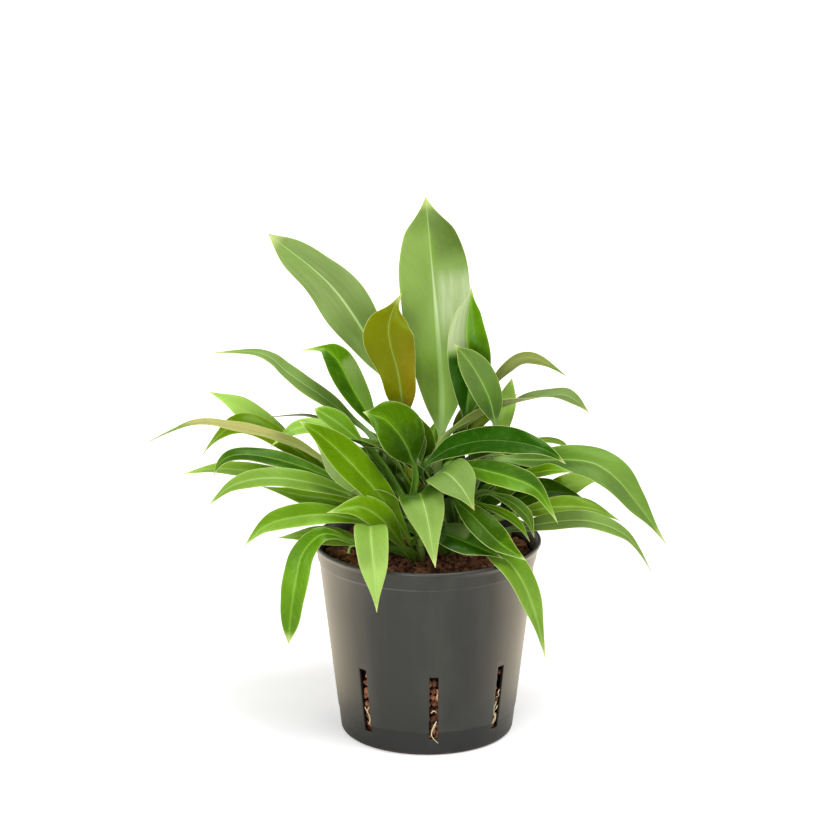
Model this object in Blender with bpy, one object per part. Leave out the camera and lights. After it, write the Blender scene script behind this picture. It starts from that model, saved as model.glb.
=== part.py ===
"""Potted philodendron: a bushy young plant in a slotted culture pot with clay granules.

Metres, +Z up. The origin is the middle of the pot's flat underside, and the plant's front faces -Y.
Lengths are written in millimetres and scaled by MM where a mesh or a curve is made.
"""
import bpy
import bmesh
import random
from math import cos, sin, pi, radians
from mathutils import Matrix, Vector

MM = 0.001

# Driving dimensions, millimetres
POT_HEIGHT = 127.0
LIP_RADIUS = 73.0
BODY_TOP_RADIUS = 69.0
BODY_FOOT_RADIUS = 55.6
WALL = 1.8
FLOOR_THICKNESS = 2.5
COLLAR_HEIGHT = 12.0
COLLAR_STEP = 0.9
LIP_HEIGHT = 3.5
LIP_OVERHANG = 1.8
LIP_ROUNDING = 1.3
FOOT_ROUNDING = 3.0
FOOT_BAND_HEIGHT = 17.0
FOOT_BAND_STEP = 0.5
SLOT_COUNT = 8
SLOT_WIDTH = 5.6
SLOT_LOW = 12.0
SLOT_HIGH = 55.0
SLOT_TURN = radians(4.0)
SLOT_CUT_DEPTH = 16.0
HEADSPACE = 11.0
FIT_GAP = 0.3
FILL_GAP = 0.5
POT_SIDES = 64

GRANULE_TOP = POT_HEIGHT - HEADSPACE
CROWN_RADIUS = 30.0
HEAP_RADII = (CROWN_RADIUS, 44.0, 56.0)
HEAP_LOW = -2.0
HEAP_HIGH = 1.5
HEAP_SPOKES = 28
FILL_SHOULDER = 3.5
STEM_RADIUS = 4.0
STEM_TAPER = 0.35
STEM_SIDES = 10
STEM_RINGS = 6
STEM_CROWN = 1.5
ROOT_RADIUS = 0.55
ROOT_STEPS = 8
PETIOLE_WIDTH = 3.0
PETIOLE_DEPTH = 2.0
BLADE_DEPTH = 0.8
MARGIN_DEPTH = 0.25
CHANNEL = 0.2
BLADE_FULLNESS = 0.85
BLADE_STATIONS = 9
PETIOLE_STATIONS = 4


def clear_scene():
    """Remove every object of the open scene."""
    for old in list(bpy.data.objects):
        bpy.data.objects.remove(old, do_unlink=True)


def metres(point):
    """A millimetre point as a vector in metres."""
    return Vector(point) * MM


def finish_material(name, color, roughness, metallic=0.0):
    """A plain Principled material."""
    material = bpy.data.materials.new(name)
    material.use_nodes = True
    shader = material.node_tree.nodes["Principled BSDF"]
    shader.inputs["Base Color"].default_value = (*color, 1.0)
    shader.inputs["Roughness"].default_value = roughness
    shader.inputs["Metallic"].default_value = metallic
    return material


def add_object(name, mesh_builder, material, smooth_angle=40.0):
    """Link a bmesh as a named object with one material."""
    bmesh.ops.recalc_face_normals(mesh_builder, faces=mesh_builder.faces)
    mesh = bpy.data.meshes.new(name)
    mesh_builder.to_mesh(mesh)
    mesh_builder.free()
    mesh.shade_smooth()
    mesh.set_sharp_from_angle(angle=radians(smooth_angle))
    mesh.materials.append(material)
    obj = bpy.data.objects.new(name, mesh)
    bpy.context.scene.collection.objects.link(obj)
    return obj


def turned_body(profile, sides):
    """A closed solid of revolution from a profile whose first and last points lie on the axis."""
    builder = bmesh.new()
    verts = [builder.verts.new(metres((radius, 0.0, height))) for radius, height in profile]
    edges = [builder.edges.new(pair) for pair in zip(verts, verts[1:])]
    bmesh.ops.spin(
        builder,
        geom=verts + edges,
        cent=(0, 0, 0),
        axis=(0, 0, 1),
        angle=2 * pi,
        steps=sides,
        use_merge=True,
    )
    bmesh.ops.remove_doubles(builder, verts=builder.verts, dist=0.00001)
    return builder


def body_radius(height):
    """Outer radius of the pot's tapered body at a height."""
    share = height / (POT_HEIGHT - COLLAR_HEIGHT)
    return BODY_FOOT_RADIUS + (BODY_TOP_RADIUS - BODY_FOOT_RADIUS) * share


def pot_profile():
    """The pot's section, from the underside's middle round the outside to the inner floor's middle."""
    collar_low = POT_HEIGHT - COLLAR_HEIGHT
    lip_low = POT_HEIGHT - LIP_HEIGHT
    collar_radius = LIP_RADIUS - LIP_OVERHANG
    outside = [
        (0.0, 0.0),
        (BODY_FOOT_RADIUS - FOOT_ROUNDING, 0.0),
        (BODY_FOOT_RADIUS - FOOT_ROUNDING * 0.4, FOOT_ROUNDING * 0.25),
        (BODY_FOOT_RADIUS, FOOT_ROUNDING),
        (body_radius(FOOT_BAND_HEIGHT) - FOOT_BAND_STEP, FOOT_BAND_HEIGHT - FOOT_BAND_STEP),
        (body_radius(FOOT_BAND_HEIGHT), FOOT_BAND_HEIGHT),
        (body_radius(collar_low), collar_low),
        (body_radius(collar_low) + COLLAR_STEP, collar_low + COLLAR_STEP),
        (collar_radius, lip_low),
        (LIP_RADIUS, lip_low + LIP_ROUNDING / 2),
        (LIP_RADIUS, POT_HEIGHT - LIP_ROUNDING),
        (LIP_RADIUS - LIP_ROUNDING * 0.3, POT_HEIGHT - LIP_ROUNDING * 0.3),
        (LIP_RADIUS - LIP_ROUNDING, POT_HEIGHT),
    ]
    corner = FLOOR_THICKNESS + WALL
    inside = [
        (collar_radius - WALL + LIP_ROUNDING / 4, POT_HEIGHT - LIP_ROUNDING / 4),
        (collar_radius - WALL, POT_HEIGHT - LIP_ROUNDING),
        (body_radius(collar_low) + COLLAR_STEP / 2 - WALL, collar_low + COLLAR_STEP),
        (body_radius(collar_low) - WALL, collar_low),
        (body_radius(corner) - WALL, corner),
        (body_radius(FLOOR_THICKNESS) - 2 * WALL, FLOOR_THICKNESS),
        (0.0, FLOOR_THICKNESS),
    ]
    return outside + inside


def slot_cutter():
    """One hidden mesh holding a box for each slot of the pot."""
    builder = bmesh.new()
    middle = (SLOT_LOW + SLOT_HIGH) / 2
    for index in range(SLOT_COUNT):
        angle = 2 * pi * index / SLOT_COUNT - pi / 2 + SLOT_TURN
        turn = Matrix.Rotation(angle, 4, "Z")
        shift = Matrix.Translation(metres((body_radius(middle), 0, middle)))
        size = Matrix.Diagonal((SLOT_CUT_DEPTH * MM, SLOT_WIDTH * MM, (SLOT_HIGH - SLOT_LOW) * MM, 1))
        bmesh.ops.create_cube(builder, size=1.0, matrix=turn @ shift @ size)
    mesh = bpy.data.meshes.new("slot_cutter")
    builder.to_mesh(mesh)
    builder.free()
    cutter = bpy.data.objects.new("slot_cutter", mesh)
    cutter.hide_render = True
    cutter.display_type = "WIRE"
    bpy.context.scene.collection.objects.link(cutter)
    return cutter


def make_pot():
    """The culture pot: a tapered shell with a collar, a lip, a foot band and upright slots."""
    plastic = finish_material("pot_plastic", (0.07, 0.068, 0.06), 0.42)
    pot = add_object("pot", turned_body(pot_profile(), POT_SIDES), plastic, 35.0)
    cut = pot.modifiers.new("slots", "BOOLEAN")
    cut.operation = "DIFFERENCE"
    cut.solver = "EXACT"
    cut.object = slot_cutter()
    return pot


def fill_radius(height):
    """Radius of the filling at a height, just inside the pot's wall."""
    return body_radius(height) - WALL - FILL_GAP


def heap_ring(builder, radius, heights, turned):
    """A ring of vertices round the axis, each at its own height; turned by half a spoke or not."""
    ring = []
    for spoke, height in enumerate(heights):
        angle = 2 * pi * (spoke + 0.5 * turned) / HEAP_SPOKES
        place = (radius * cos(angle), radius * sin(angle), height)
        ring.append(builder.verts.new(metres(place)))
    return ring


def make_granules():
    """The clay granules as one filling with a lumpy top, flat where the stems stand."""
    chance = random.Random(7)
    foot = FLOOR_THICKNESS + FIT_GAP
    builder = bmesh.new()
    middle = builder.verts.new(metres((0, 0, GRANULE_TOP)))
    rings = [heap_ring(builder, CROWN_RADIUS, [GRANULE_TOP] * HEAP_SPOKES, 0)]
    lumpy_radii = HEAP_RADII[1:] + (fill_radius(GRANULE_TOP) - FILL_SHOULDER,)
    for index, radius in enumerate(lumpy_radii, 1):
        heights = [GRANULE_TOP + chance.uniform(HEAP_LOW, HEAP_HIGH) for spoke in range(HEAP_SPOKES)]
        rings.append(heap_ring(builder, radius, heights, index % 2))
    corner = FLOOR_THICKNESS + 2 * FILL_SHOULDER
    outline = [
        (fill_radius(GRANULE_TOP - FILL_SHOULDER), GRANULE_TOP - FILL_SHOULDER),
        (fill_radius(corner), corner),
        (fill_radius(foot) - FILL_SHOULDER, foot),
    ]
    for index, (radius, height) in enumerate(outline):
        rings.append(heap_ring(builder, radius, [height] * HEAP_SPOKES, index % 2))
    bottom = builder.verts.new(metres((0, 0, foot)))
    for spoke in range(HEAP_SPOKES):
        after = (spoke + 1) % HEAP_SPOKES
        builder.faces.new((middle, rings[0][spoke], rings[0][after]))
        builder.faces.new((bottom, rings[-1][after], rings[-1][spoke]))
        for inner, outer in zip(rings, rings[1:]):
            builder.faces.new((inner[spoke], outer[spoke], outer[after], inner[after]))
    clay = finish_material("fired_clay", (0.34, 0.14, 0.075), 0.95)
    return add_object("clay_granules", builder, clay, 30.0)


# Stems: foot place on the granules, how far the top leans over, and height
STEMS = {
    "stem_left": ((-19.0, -4.0), (-4.0, -1.0), 40.0),
    "stem_front": ((-4.0, -17.0), (0.0, -3.0), 36.0),
    "stem_middle": ((-2.0, 0.0), (2.0, 1.0), 62.0),
    "stem_right": ((15.0, -5.0), (4.0, -1.0), 44.0),
    "stem_back": ((-1.0, 17.0), (0.0, 4.0), 40.0),
}


def stem_middle_line(stem, height):
    """Middle of a stem at a height above the granules, and its radius there."""
    foot, lean, length = STEMS[stem]
    share = height / length
    place = Vector((foot[0] + lean[0] * share, foot[1] + lean[1] * share, GRANULE_TOP + height))
    return place, STEM_RADIUS * (1.0 - STEM_TAPER * share)


def make_stem(name):
    """A short tapered stem that stands on the granules and ends in a small rounded crown."""
    length = STEMS[name][2]
    builder = bmesh.new()
    rise = (length - FIT_GAP) / STEM_RINGS
    heights = [FIT_GAP + rise * step for step in range(STEM_RINGS + 1)]
    rings = []
    for height in heights + [length + STEM_CROWN]:
        place, radius = stem_middle_line(name, height)
        if height > length:
            radius *= 0.5
        ring = []
        for side in range(STEM_SIDES):
            angle = 2 * pi * side / STEM_SIDES
            around = Vector((radius * cos(angle), radius * sin(angle), 0.0))
            ring.append(builder.verts.new((place + around) * MM))
        rings.append(ring)
    builder.faces.new(list(reversed(rings[0])))
    builder.faces.new(rings[-1])
    for low, high in zip(rings, rings[1:]):
        for side in range(STEM_SIDES):
            after = (side + 1) % STEM_SIDES
            builder.faces.new((low[side], low[after], high[after], high[side]))
    green = finish_material(name + "_skin", (0.2, 0.33, 0.09), 0.5)
    return add_object(name, builder, green, 50.0)


# Leaves. Each has: stem, height of its stalk on the stem, places of the blade's midrib from heel to
# tip, blade width, the way its upper face looks, where along the blade it is widest, and its twist.
LEAVES = {
    "leaf_tall_middle": ("stem_middle", 55, [(9, 4, 193), (9, 8, 226), (6, 13, 270), (2, 18, 314),
                                             (-1, 22, 344)],
                         45, (0.15, -1, 0.1), 0.6, 0),
    "leaf_high_left": ("stem_middle", 54, [(-22, 8, 226), (-42, 14, 262), (-64, 19, 291),
                                           (-100, 24, 320)],
                       32, (-0.3, -1, 0.35), 0.5, 0),
    "leaf_new_olive": ("stem_middle", 44, [(-15, -5, 210), (-18, -7, 236), (-23, -9, 256),
                                           (-24, -9, 269), (-19, -7, 286)],
                       32, (-0.1, -1, 0.1), 0.6, 0),
    "leaf_glossy_left": ("stem_left", 40, [(-31, 1, 198), (-46, 5, 223), (-57, 8, 243), (-69, 9, 252)],
                         21, (0.4, -1, 0.6), 0.48, 0),
    "leaf_high_thin": ("stem_left", 36, [(-38, 12, 194), (-62, 16, 213), (-86, 20, 229),
                                         (-105, 22, 243), (-136, 24, 243)],
                       11, (0.35, -0.6, 0.75), 0.5, 0),
    "leaf_pale_far_left": ("stem_left", 33, [(-80, 22, 178), (-102, 25, 194), (-121, 26, 208),
                                             (-140, 26, 217)],
                           16, (0.1, -0.8, 0.7), 0.45, 0),
    "leaf_longest_left": ("stem_left", 30, [(-56, -6, 174), (-85, -7, 193), (-118, -9, 203),
                                            (-146, -12, 207), (-175, -14, 195)],
                          11, (0, 0.75, 0.65), 0.36, 0),
    "leaf_dark_left": ("stem_left", 27, [(-56, 8, 161), (-83, 9, 183), (-106, 9, 197),
                                         (-121, 9, 200), (-133, 9, 192), (-143, 9, 180)],
                       17, (0.1, -0.6, 0.8), 0.4, 0),
    "leaf_edge_left": ("stem_back", 34, [(-52, 20, 192), (-75, 22, 202), (-99, 24, 201)],
                       10, (0, 0.2, 1), 0.4, 0),
    "leaf_small_left": ("stem_left", 37, [(-44, 2, 192), (-66, 1, 200), (-84, 0, 199), (-99, -1, 188)],
                        12, (0, -0.6, 0.8), 0.45, 0),
    "leaf_blunt_left": ("stem_front", 32, [(-39, -9, 191), (-56, -9, 206), (-71, -8, 215)],
                        14, (0.4, -0.8, 0.6), 0.55, 0),
    "leaf_bright_front": ("stem_front", 16, [(-11, -27, 134), (-28, -34, 164), (-48, -38, 189),
                                             (-65, -40, 206), (-79, -42, 216)],
                          22, (0.35, -0.85, 0.5), 0.45, 0),
    "leaf_pale_behind_front": ("stem_front", 30, [(-40, -22, 162), (-54, -24, 180), (-70, -25, 198)],
                               17, (0.3, -0.9, 0.4), 0.5, 0),
    "leaf_arched_left": ("stem_left", 18, [(-41, -8, 160), (-74, -11, 176), (-101, -14, 185),
                                           (-120, -16, 187), (-130, -17, 182), (-134, -18, 174)],
                         12, (0, -0.6, 0.8), 0.35, 0),
    "leaf_yellow_tip_left": ("stem_back", 31, [(-63, 26, 156), (-96, 26, 162), (-119, 25, 165),
                                               (-138, 24, 166), (-157, 22, 163)],
                             11, (0, -0.7, 0.8), 0.45, 0),
    "leaf_wavy_left": ("stem_left", 15, [(-37, -18, 157), (-67, -22, 169), (-97, -26, 175),
                                         (-121, -29, 171), (-137, -30, 158)],
                       14, (0, -0.7, 0.7), 0.42, 0),
    "leaf_under_left": ("stem_left", 9, [(-35, -11, 147), (-58, -15, 157), (-81, -17, 161),
                                         (-105, -18, 167)],
                        14, (0, -0.7, 0.7), 0.42, 0),
    "leaf_low_left": ("stem_front", 22, [(-36, -31, 147), (-62, -36, 154), (-87, -41, 153),
                                         (-102, -43, 148), (-114, -44, 136)],
                      16, (0, -0.75, 0.7), 0.42, 0),
    "leaf_lowest_left": ("stem_left", 7, [(-39, -18, 129), (-55, -21, 134), (-74, -25, 137),
                                          (-94, -28, 136)],
                         13, (0, -0.75, 0.7), 0.45, 0),
    "leaf_hanging_left": ("stem_front", 3, [(-48, -38, 137), (-64, -44, 144), (-77, -50, 134),
                                            (-82, -54, 116), (-85, -54, 96), (-87, -52, 74)],
                          17, (-0.3, -1, 0.2), 0.6, 0),
    "leaf_hanging_front_left": ("stem_left", 14, [(-35, -42, 143), (-35, -62, 155), (-34, -77, 146),
                                                  (-32, -83, 125), (-31, -84, 106)],
                                21, (0.1, -1, 0.6), 0.38, 0),
    "leaf_arch_front_left": ("stem_front", 5, [(-14, -31, 130), (-27, -40, 151), (-42, -46, 162),
                                               (-62, -52, 160)],
                             18, (0.1, -0.8, 0.6), 0.45, 0),
    "leaf_hanging_front": ("stem_front", 28, [(-7, -26, 157), (-5, -44, 171), (0, -58, 158), (5, -67, 129)],
                           27, (-0.1, -1, 0.6), 0.42, 0),
    "leaf_dark_round": ("stem_front", 33, [(-8, -22, 181), (-12, -25, 194), (-18, -27, 205),
                                           (-27, -28, 214), (-40, -28, 218)],
                        33, (0.3, -0.8, 0.5), 0.5, 0),
    "leaf_dark_arch": ("stem_right", 34, [(-1, -16, 180), (12, -22, 192), (33, -29, 200),
                                          (54, -35, 201), (73, -39, 197), (86, -40, 188)],
                       19, (0, -0.75, 0.7), 0.42, 0),
    "leaf_right_arch": ("stem_right", 28, [(17, -32, 186), (34, -39, 184), (52, -46, 181),
                                           (68, -50, 174), (81, -52, 153)],
                        17, (0.1, -0.8, 0.6), 0.42, 0),
    "leaf_folded_front": ("stem_right", 24, [(4, -30, 177), (11, -43, 184), (21, -56, 178),
                                             (29, -63, 165)],
                          28, (0.1, -0.8, 0.7), 0.36, 0),
    "leaf_dark_front_right": ("stem_right", 18, [(16, -30, 163), (30, -44, 154), (45, -56, 142),
                                                 (61, -64, 133)],
                              18, (0.2, -0.85, 0.5), 0.48, 0),
    "leaf_glossy_low": ("stem_right", 4, [(2, -34, 142), (15, -42, 142), (30, -50, 138),
                                          (47, -57, 132)],
                        22, (0.1, -0.7, 0.8), 0.42, 0),
    "leaf_hanging_right": ("stem_right", 8, [(34, -41, 134), (49, -56, 131), (60, -62, 117),
                                             (68, -61, 94), (74, -58, 67)],
                           18, (0.4, -1, 0.4), 0.3, 0),
    "leaf_far_right": ("stem_right", 30, [(45, -2, 180), (71, -3, 180), (100, -5, 180),
                                          (117, -8, 172), (132, -11, 155), (152, -14, 127)],
                       24, (0.2, -0.8, 0.7), 0.55, 0),
    "leaf_yellow_right": ("stem_back", 17, [(60, 16, 144), (80, 16, 154), (95, 15, 159),
                                            (109, 14, 161)],
                          15, (0.1, -0.8, 0.6), 0.6, 0),
    "leaf_olive_right": ("stem_right", 15, [(51, -8, 144), (79, -11, 151), (103, -13, 151),
                                            (122, -14, 143)],
                         14, (0, -0.7, 0.7), 0.45, 0),
    "leaf_twisted_right": ("stem_right", 12, [(49, -22, 139), (73, -23, 144), (96, -25, 147),
                                              (115, -27, 143), (129, -29, 134), (141, -30, 115)],
                           14, (0, -0.6, 0.8), 0.3, 0),
    "leaf_upper_arch_right": ("stem_back", 39, [(35, 18, 215), (49, 21, 232), (61, 24, 239),
                                                (75, 26, 236), (90, 27, 226)],
                              11, (0, 0.9, 0.5), 0.4, 0),
    "leaf_long_right": ("stem_middle", 40, [(14, -7, 199), (30, -3, 208), (52, 2, 216),
                                            (74, 5, 220), (90, 6, 219), (103, 6, 208)],
                        17, (0, 0.15, 0.9), 0.42, -130),
    "leaf_dark_middle": ("stem_middle", 51, [(24, 0, 205), (27, 2, 235), (25, 4, 262), (28, 6, 290)],
                         28, (0.2, -1, 0.1), 0.45, 0),
    "leaf_blue_middle": ("stem_right", 44, [(43, -8, 204), (39, -9, 222), (29, -10, 242),
                                            (17, -10, 257)],
                         21, (0.4, -1, 0.2), 0.5, 0),
    "leaf_pale_right": ("stem_back", 33, [(47, 14, 185), (49, 16, 204), (54, 18, 228)],
                        13, (0, -1, 0.2), 0.68, 0),
    "leaf_thin_arch_right": ("stem_back", 36, [(60, 9, 188), (75, 11, 189), (87, 12, 186), (95, 12, 176)],
                            5, (0, -0.5, 0.8), 0.45, 0),
    "leaf_pink_edge_right": ("stem_right", 22, [(46, -18, 171), (65, -21, 176), (78, -23, 179),
                                                (91, -24, 178)],
                             11, (0, -0.5, 0.85), 0.5, 0),
    "leaf_narrow_right": ("stem_right", 16, [(39, -22, 164), (53, -27, 159), (63, -31, 150),
                                             (67, -34, 138)],
                          9, (0.1, -0.7, 0.7), 0.45, 0),
    "leaf_thin_right": ("stem_right", 10, [(29, -30, 160), (45, -36, 156), (57, -40, 149),
                                          (64, -42, 138)],
                        6, (0.1, -0.7, 0.7), 0.45, 0),
    "leaf_back_left": ("stem_back", 8, [(-36, 40, 137), (-60, 58, 151), (-84, 72, 161)],
                       20, (0, -0.5, 0.9), 0.5, 0),
    "leaf_back_low_left": ("stem_back", 4, [(-20, 50, 140), (-32, 80, 142), (-38, 98, 110)],
                           20, (-0.2, 0.5, 1), 0.5, 0),
    "leaf_back_middle": ("stem_back", 14, [(-6, 42, 148), (-8, 80, 156), (-10, 108, 132)],
                         25, (0, 0.3, 1), 0.5, 0),
    "leaf_back_right": ("stem_back", 10, [(24, 44, 156), (44, 76, 166), (56, 98, 142)],
                        22, (0.2, 0.3, 1), 0.5, 0),
    "leaf_back_upper_left": ("stem_back", 24, [(-23, 38, 146), (-42, 58, 158), (-59, 74, 161)],
                             20, (-0.1, -0.5, 0.9), 0.5, 0),
    "leaf_back_upper_right": ("stem_back", 20, [(28, 36, 160), (56, 56, 172), (80, 72, 156)],
                              22, (0.3, 0.2, 1), 0.5, 0),
}


def catmull(points, share):
    """A point on the smooth curve through points, share running from 0 to 1."""
    spans = len(points) - 1
    place = min(share * spans, spans - 1e-6)
    index = int(place)
    local = place - index
    first = points[index]
    last = points[index + 1]
    before = points[index - 1] if index else first * 2 - last
    after = points[index + 2] if index + 2 < len(points) else last * 2 - first
    slope_in = (last - before) / 2
    slope_out = (after - first) / 2
    return hermite(first, slope_in, last, slope_out, local)


def hermite(first, slope_in, last, slope_out, share):
    """Cubic Hermite curve."""
    square = share * share
    cube = square * share
    return (
        first * (2 * cube - 3 * square + 1)
        + slope_in * (cube - 2 * square + share)
        + last * (3 * square - 2 * cube)
        + slope_out * (cube - square)
    )


def stalk_start(stem, height, heel):
    """Where a stalk leaves its stem towards the heel, and its first direction."""
    place, radius = stem_middle_line(stem, height)
    outward = Vector((heel.x - place.x, heel.y - place.y, 0.0)).normalized()
    direction = (outward + Vector((0, 0, 1))).normalized()
    facet_inset = radius * (1.0 - cos(pi / STEM_SIDES))
    reach = radius - facet_inset + FIT_GAP + PETIOLE_DEPTH / 2 * direction.z
    return place + outward * reach, direction


def blade_width(share, crest):
    """Width along the blade as a share of the widest: slender at the heel, pointed at the tip."""
    if share < crest:
        return sin(pi / 2 * share / crest) ** BLADE_FULLNESS
    return sin(pi / 2 * (1.0 - share) / (1.0 - crest)) ** BLADE_FULLNESS


def leaf_stations(stem, height, spine):
    """Points from the stalk's foot to the tip, each with its share of the blade, None on the stalk."""
    points = [Vector(place) for place in spine]
    heel = points[0]
    start, direction = stalk_start(stem, height, heel)
    span = (heel - start).length
    first_slope = direction * span
    last_slope = (points[1] - heel).normalized() * span
    stations = []
    for index in range(PETIOLE_STATIONS):
        share = index / PETIOLE_STATIONS
        place = hermite(start, first_slope, heel, last_slope, share)
        stations.append((place, None))
    for index in range(BLADE_STATIONS + 1):
        share = index / BLADE_STATIONS
        stations.append((catmull(points, share), share))
    return stations


def transported_frames(places, middle_index, face):
    """Across and upward directions at each place, carried without spin from the middle of the blade."""
    count = len(places)
    tangents = []
    for index in range(count):
        low = places[max(index - 1, 0)]
        high = places[min(index + 1, count - 1)]
        tangents.append((high - low).normalized())
    up = face - tangents[middle_index] * face.dot(tangents[middle_index])
    ups = [None] * count
    ups[middle_index] = up.normalized()
    for order in (range(middle_index + 1, count), range(middle_index - 1, -1, -1)):
        step = 1 if order.step > 0 else -1
        for index in order:
            carried = ups[index - step]
            turned = tangents[index - step].rotation_difference(tangents[index]) @ carried
            ups[index] = (turned - tangents[index] * turned.dot(tangents[index])).normalized()
    return [(tangent.cross(upward), upward) for tangent, upward in zip(tangents, ups)]


def turned_frame(frame, turn):
    """A frame's across and up vectors, turned about the leaf's own length."""
    across, up = frame
    return across * cos(turn) + up * sin(turn), up * cos(turn) - across * sin(turn)


def make_leaf(name, stem, height, spine, width, face, crest, twist):
    """One leaf: a stalk and a channelled blade in one closed skin, four points to a ring."""
    stations = leaf_stations(stem, height, spine)
    places = [place for place, share in stations]
    middle_index = PETIOLE_STATIONS + BLADE_STATIONS // 2
    frames = transported_frames(places, middle_index, Vector(face))
    turns = [radians(twist) * ((share or 0.0) - 0.5) for place, share in stations]
    builder = bmesh.new()
    rings = []
    for (place, share), frame, turn in zip(stations[:-1], frames[:-1], turns):
        across, up = turned_frame(frame, turn)
        if share is None or share == 0:
            half = (PETIOLE_WIDTH if rings else PETIOLE_DEPTH) / 2
            channel = 0.0
            above = PETIOLE_DEPTH / 2
            below = PETIOLE_DEPTH / 2
        else:
            half = max(width / 2 * blade_width(share, crest), PETIOLE_WIDTH / 2 * (1 - share))
            channel = half * CHANNEL
            above = MARGIN_DEPTH
            below = BLADE_DEPTH - MARGIN_DEPTH
        corners = (
            place + across * half + up * channel / 2,
            place + up * (above - channel / 2),
            place - across * half + up * channel / 2,
            place - up * (below + channel / 2),
        )
        rings.append([builder.verts.new(corner * MM) for corner in corners])
    tip = builder.verts.new(places[-1] * MM)
    builder.faces.new(list(reversed(rings[0])))
    for low, high in zip(rings, rings[1:]):
        for side in range(4):
            after = (side + 1) % 4
            builder.faces.new((low[side], low[after], high[after], high[side]))
    for side in range(4):
        builder.faces.new((rings[-1][side], rings[-1][(side + 1) % 4], tip))
    bmesh.ops.triangulate(builder, faces=builder.faces)
    green = finish_material(name + "_blade", (0.12, 0.3, 0.045), 0.38)
    return add_object(name, builder, green, 60.0)


# Roots that show in the slots: slot number, heights of the points, sideways shifts
ROOTS = {
    "root_front": (0, [(22.0, 1.6), (17.0, -0.8), (13.5, -1.2)]),
    "root_left": (7, [(26.0, -0.6), (21.0, 1.4), (16.5, 0.0)]),
    "root_right": (1, [(30.0, 0.8), (25.0, -1.2), (19.0, 0.6)]),
}


def make_root(name, slot, points):
    """A thin pale root that lies in a slot, just outside the granules."""
    angle = 2 * pi * slot / SLOT_COUNT - pi / 2 + SLOT_TURN
    outward = Vector((cos(angle), sin(angle), 0))
    sideways = Vector((-sin(angle), cos(angle), 0))
    curve = bpy.data.curves.new(name, "CURVE")
    curve.dimensions = "3D"
    curve.bevel_depth = ROOT_RADIUS * MM
    curve.bevel_resolution = 1
    curve.use_fill_caps = True
    through = []
    for height, shift in points:
        reach = fill_radius(height) + FIT_GAP + ROOT_RADIUS
        through.append(outward * reach + sideways * shift + Vector((0, 0, height)))
    spline = curve.splines.new("POLY")
    spline.points.add(ROOT_STEPS)
    for step in range(ROOT_STEPS + 1):
        place = catmull(through, step / ROOT_STEPS) * MM
        spline.points[step].co = (*place, 1.0)
    root = bpy.data.objects.new(name, curve)
    curve.materials.append(finish_material(name + "_skin", (0.75, 0.62, 0.36), 0.7))
    bpy.context.scene.collection.objects.link(root)
    return root


def main():
    """Build every piece."""
    clear_scene()
    make_pot()
    make_granules()
    for name in STEMS:
        make_stem(name)
    for name, leaf in LEAVES.items():
        make_leaf(name, *leaf)
    for name, (slot, points) in ROOTS.items():
        make_root(name, slot, points)


main()
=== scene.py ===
"""Looks of a potted philodendron: leaves, stems, clay granules, roots, culture pot and studio stage.

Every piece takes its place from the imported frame, in metres, +Z up, with the plant's front facing -Y.
"""

import random
from math import cos, pi, radians, sin, tau

import bpy
import numpy as np
from bpy.props import FloatProperty, FloatVectorProperty, IntProperty, PointerProperty
from mathutils import Euler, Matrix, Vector, noise


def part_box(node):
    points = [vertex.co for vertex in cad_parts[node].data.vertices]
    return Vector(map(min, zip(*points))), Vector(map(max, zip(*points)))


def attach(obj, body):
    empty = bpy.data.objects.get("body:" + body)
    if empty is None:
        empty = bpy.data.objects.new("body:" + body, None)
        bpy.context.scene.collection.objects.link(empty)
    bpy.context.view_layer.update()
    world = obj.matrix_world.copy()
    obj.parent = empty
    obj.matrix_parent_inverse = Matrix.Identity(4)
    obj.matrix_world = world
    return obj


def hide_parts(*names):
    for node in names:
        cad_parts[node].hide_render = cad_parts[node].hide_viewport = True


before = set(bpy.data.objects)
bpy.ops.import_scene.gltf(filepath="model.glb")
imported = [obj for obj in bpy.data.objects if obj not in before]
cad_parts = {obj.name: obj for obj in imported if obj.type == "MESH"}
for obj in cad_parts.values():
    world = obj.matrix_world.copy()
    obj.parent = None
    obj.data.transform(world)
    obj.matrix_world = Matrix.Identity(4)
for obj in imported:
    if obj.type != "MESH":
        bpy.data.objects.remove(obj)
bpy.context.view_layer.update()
POT_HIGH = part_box("pot")[1]
FILL_LOW, FILL_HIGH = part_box("clay_granules")

bl_info = {
    "name": "Potted philodendron",
    "version": (1, 0, 0),
    "blender": (4, 5, 0),
    "location": "3D View > Sidebar > Plant",
    "description": "Models a young philodendron in a slotted culture pot on a studio stage",
    "category": "Object",
}


# ---- sizes and colours to change ----

def a_length(name, description, default):
    """A length that a user would change."""
    return FloatProperty(name=name, description=description, default=default, unit="LENGTH")


def an_angle(name, description, degrees):
    """An angle that a user would change."""
    return FloatProperty(name=name, description=description, default=radians(degrees), unit="ROTATION")


def a_colour(name, description, default):
    """A colour that a user would change."""
    return FloatVectorProperty(
        name=name, description=description, default=default, subtype="COLOR", size=3)


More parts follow.
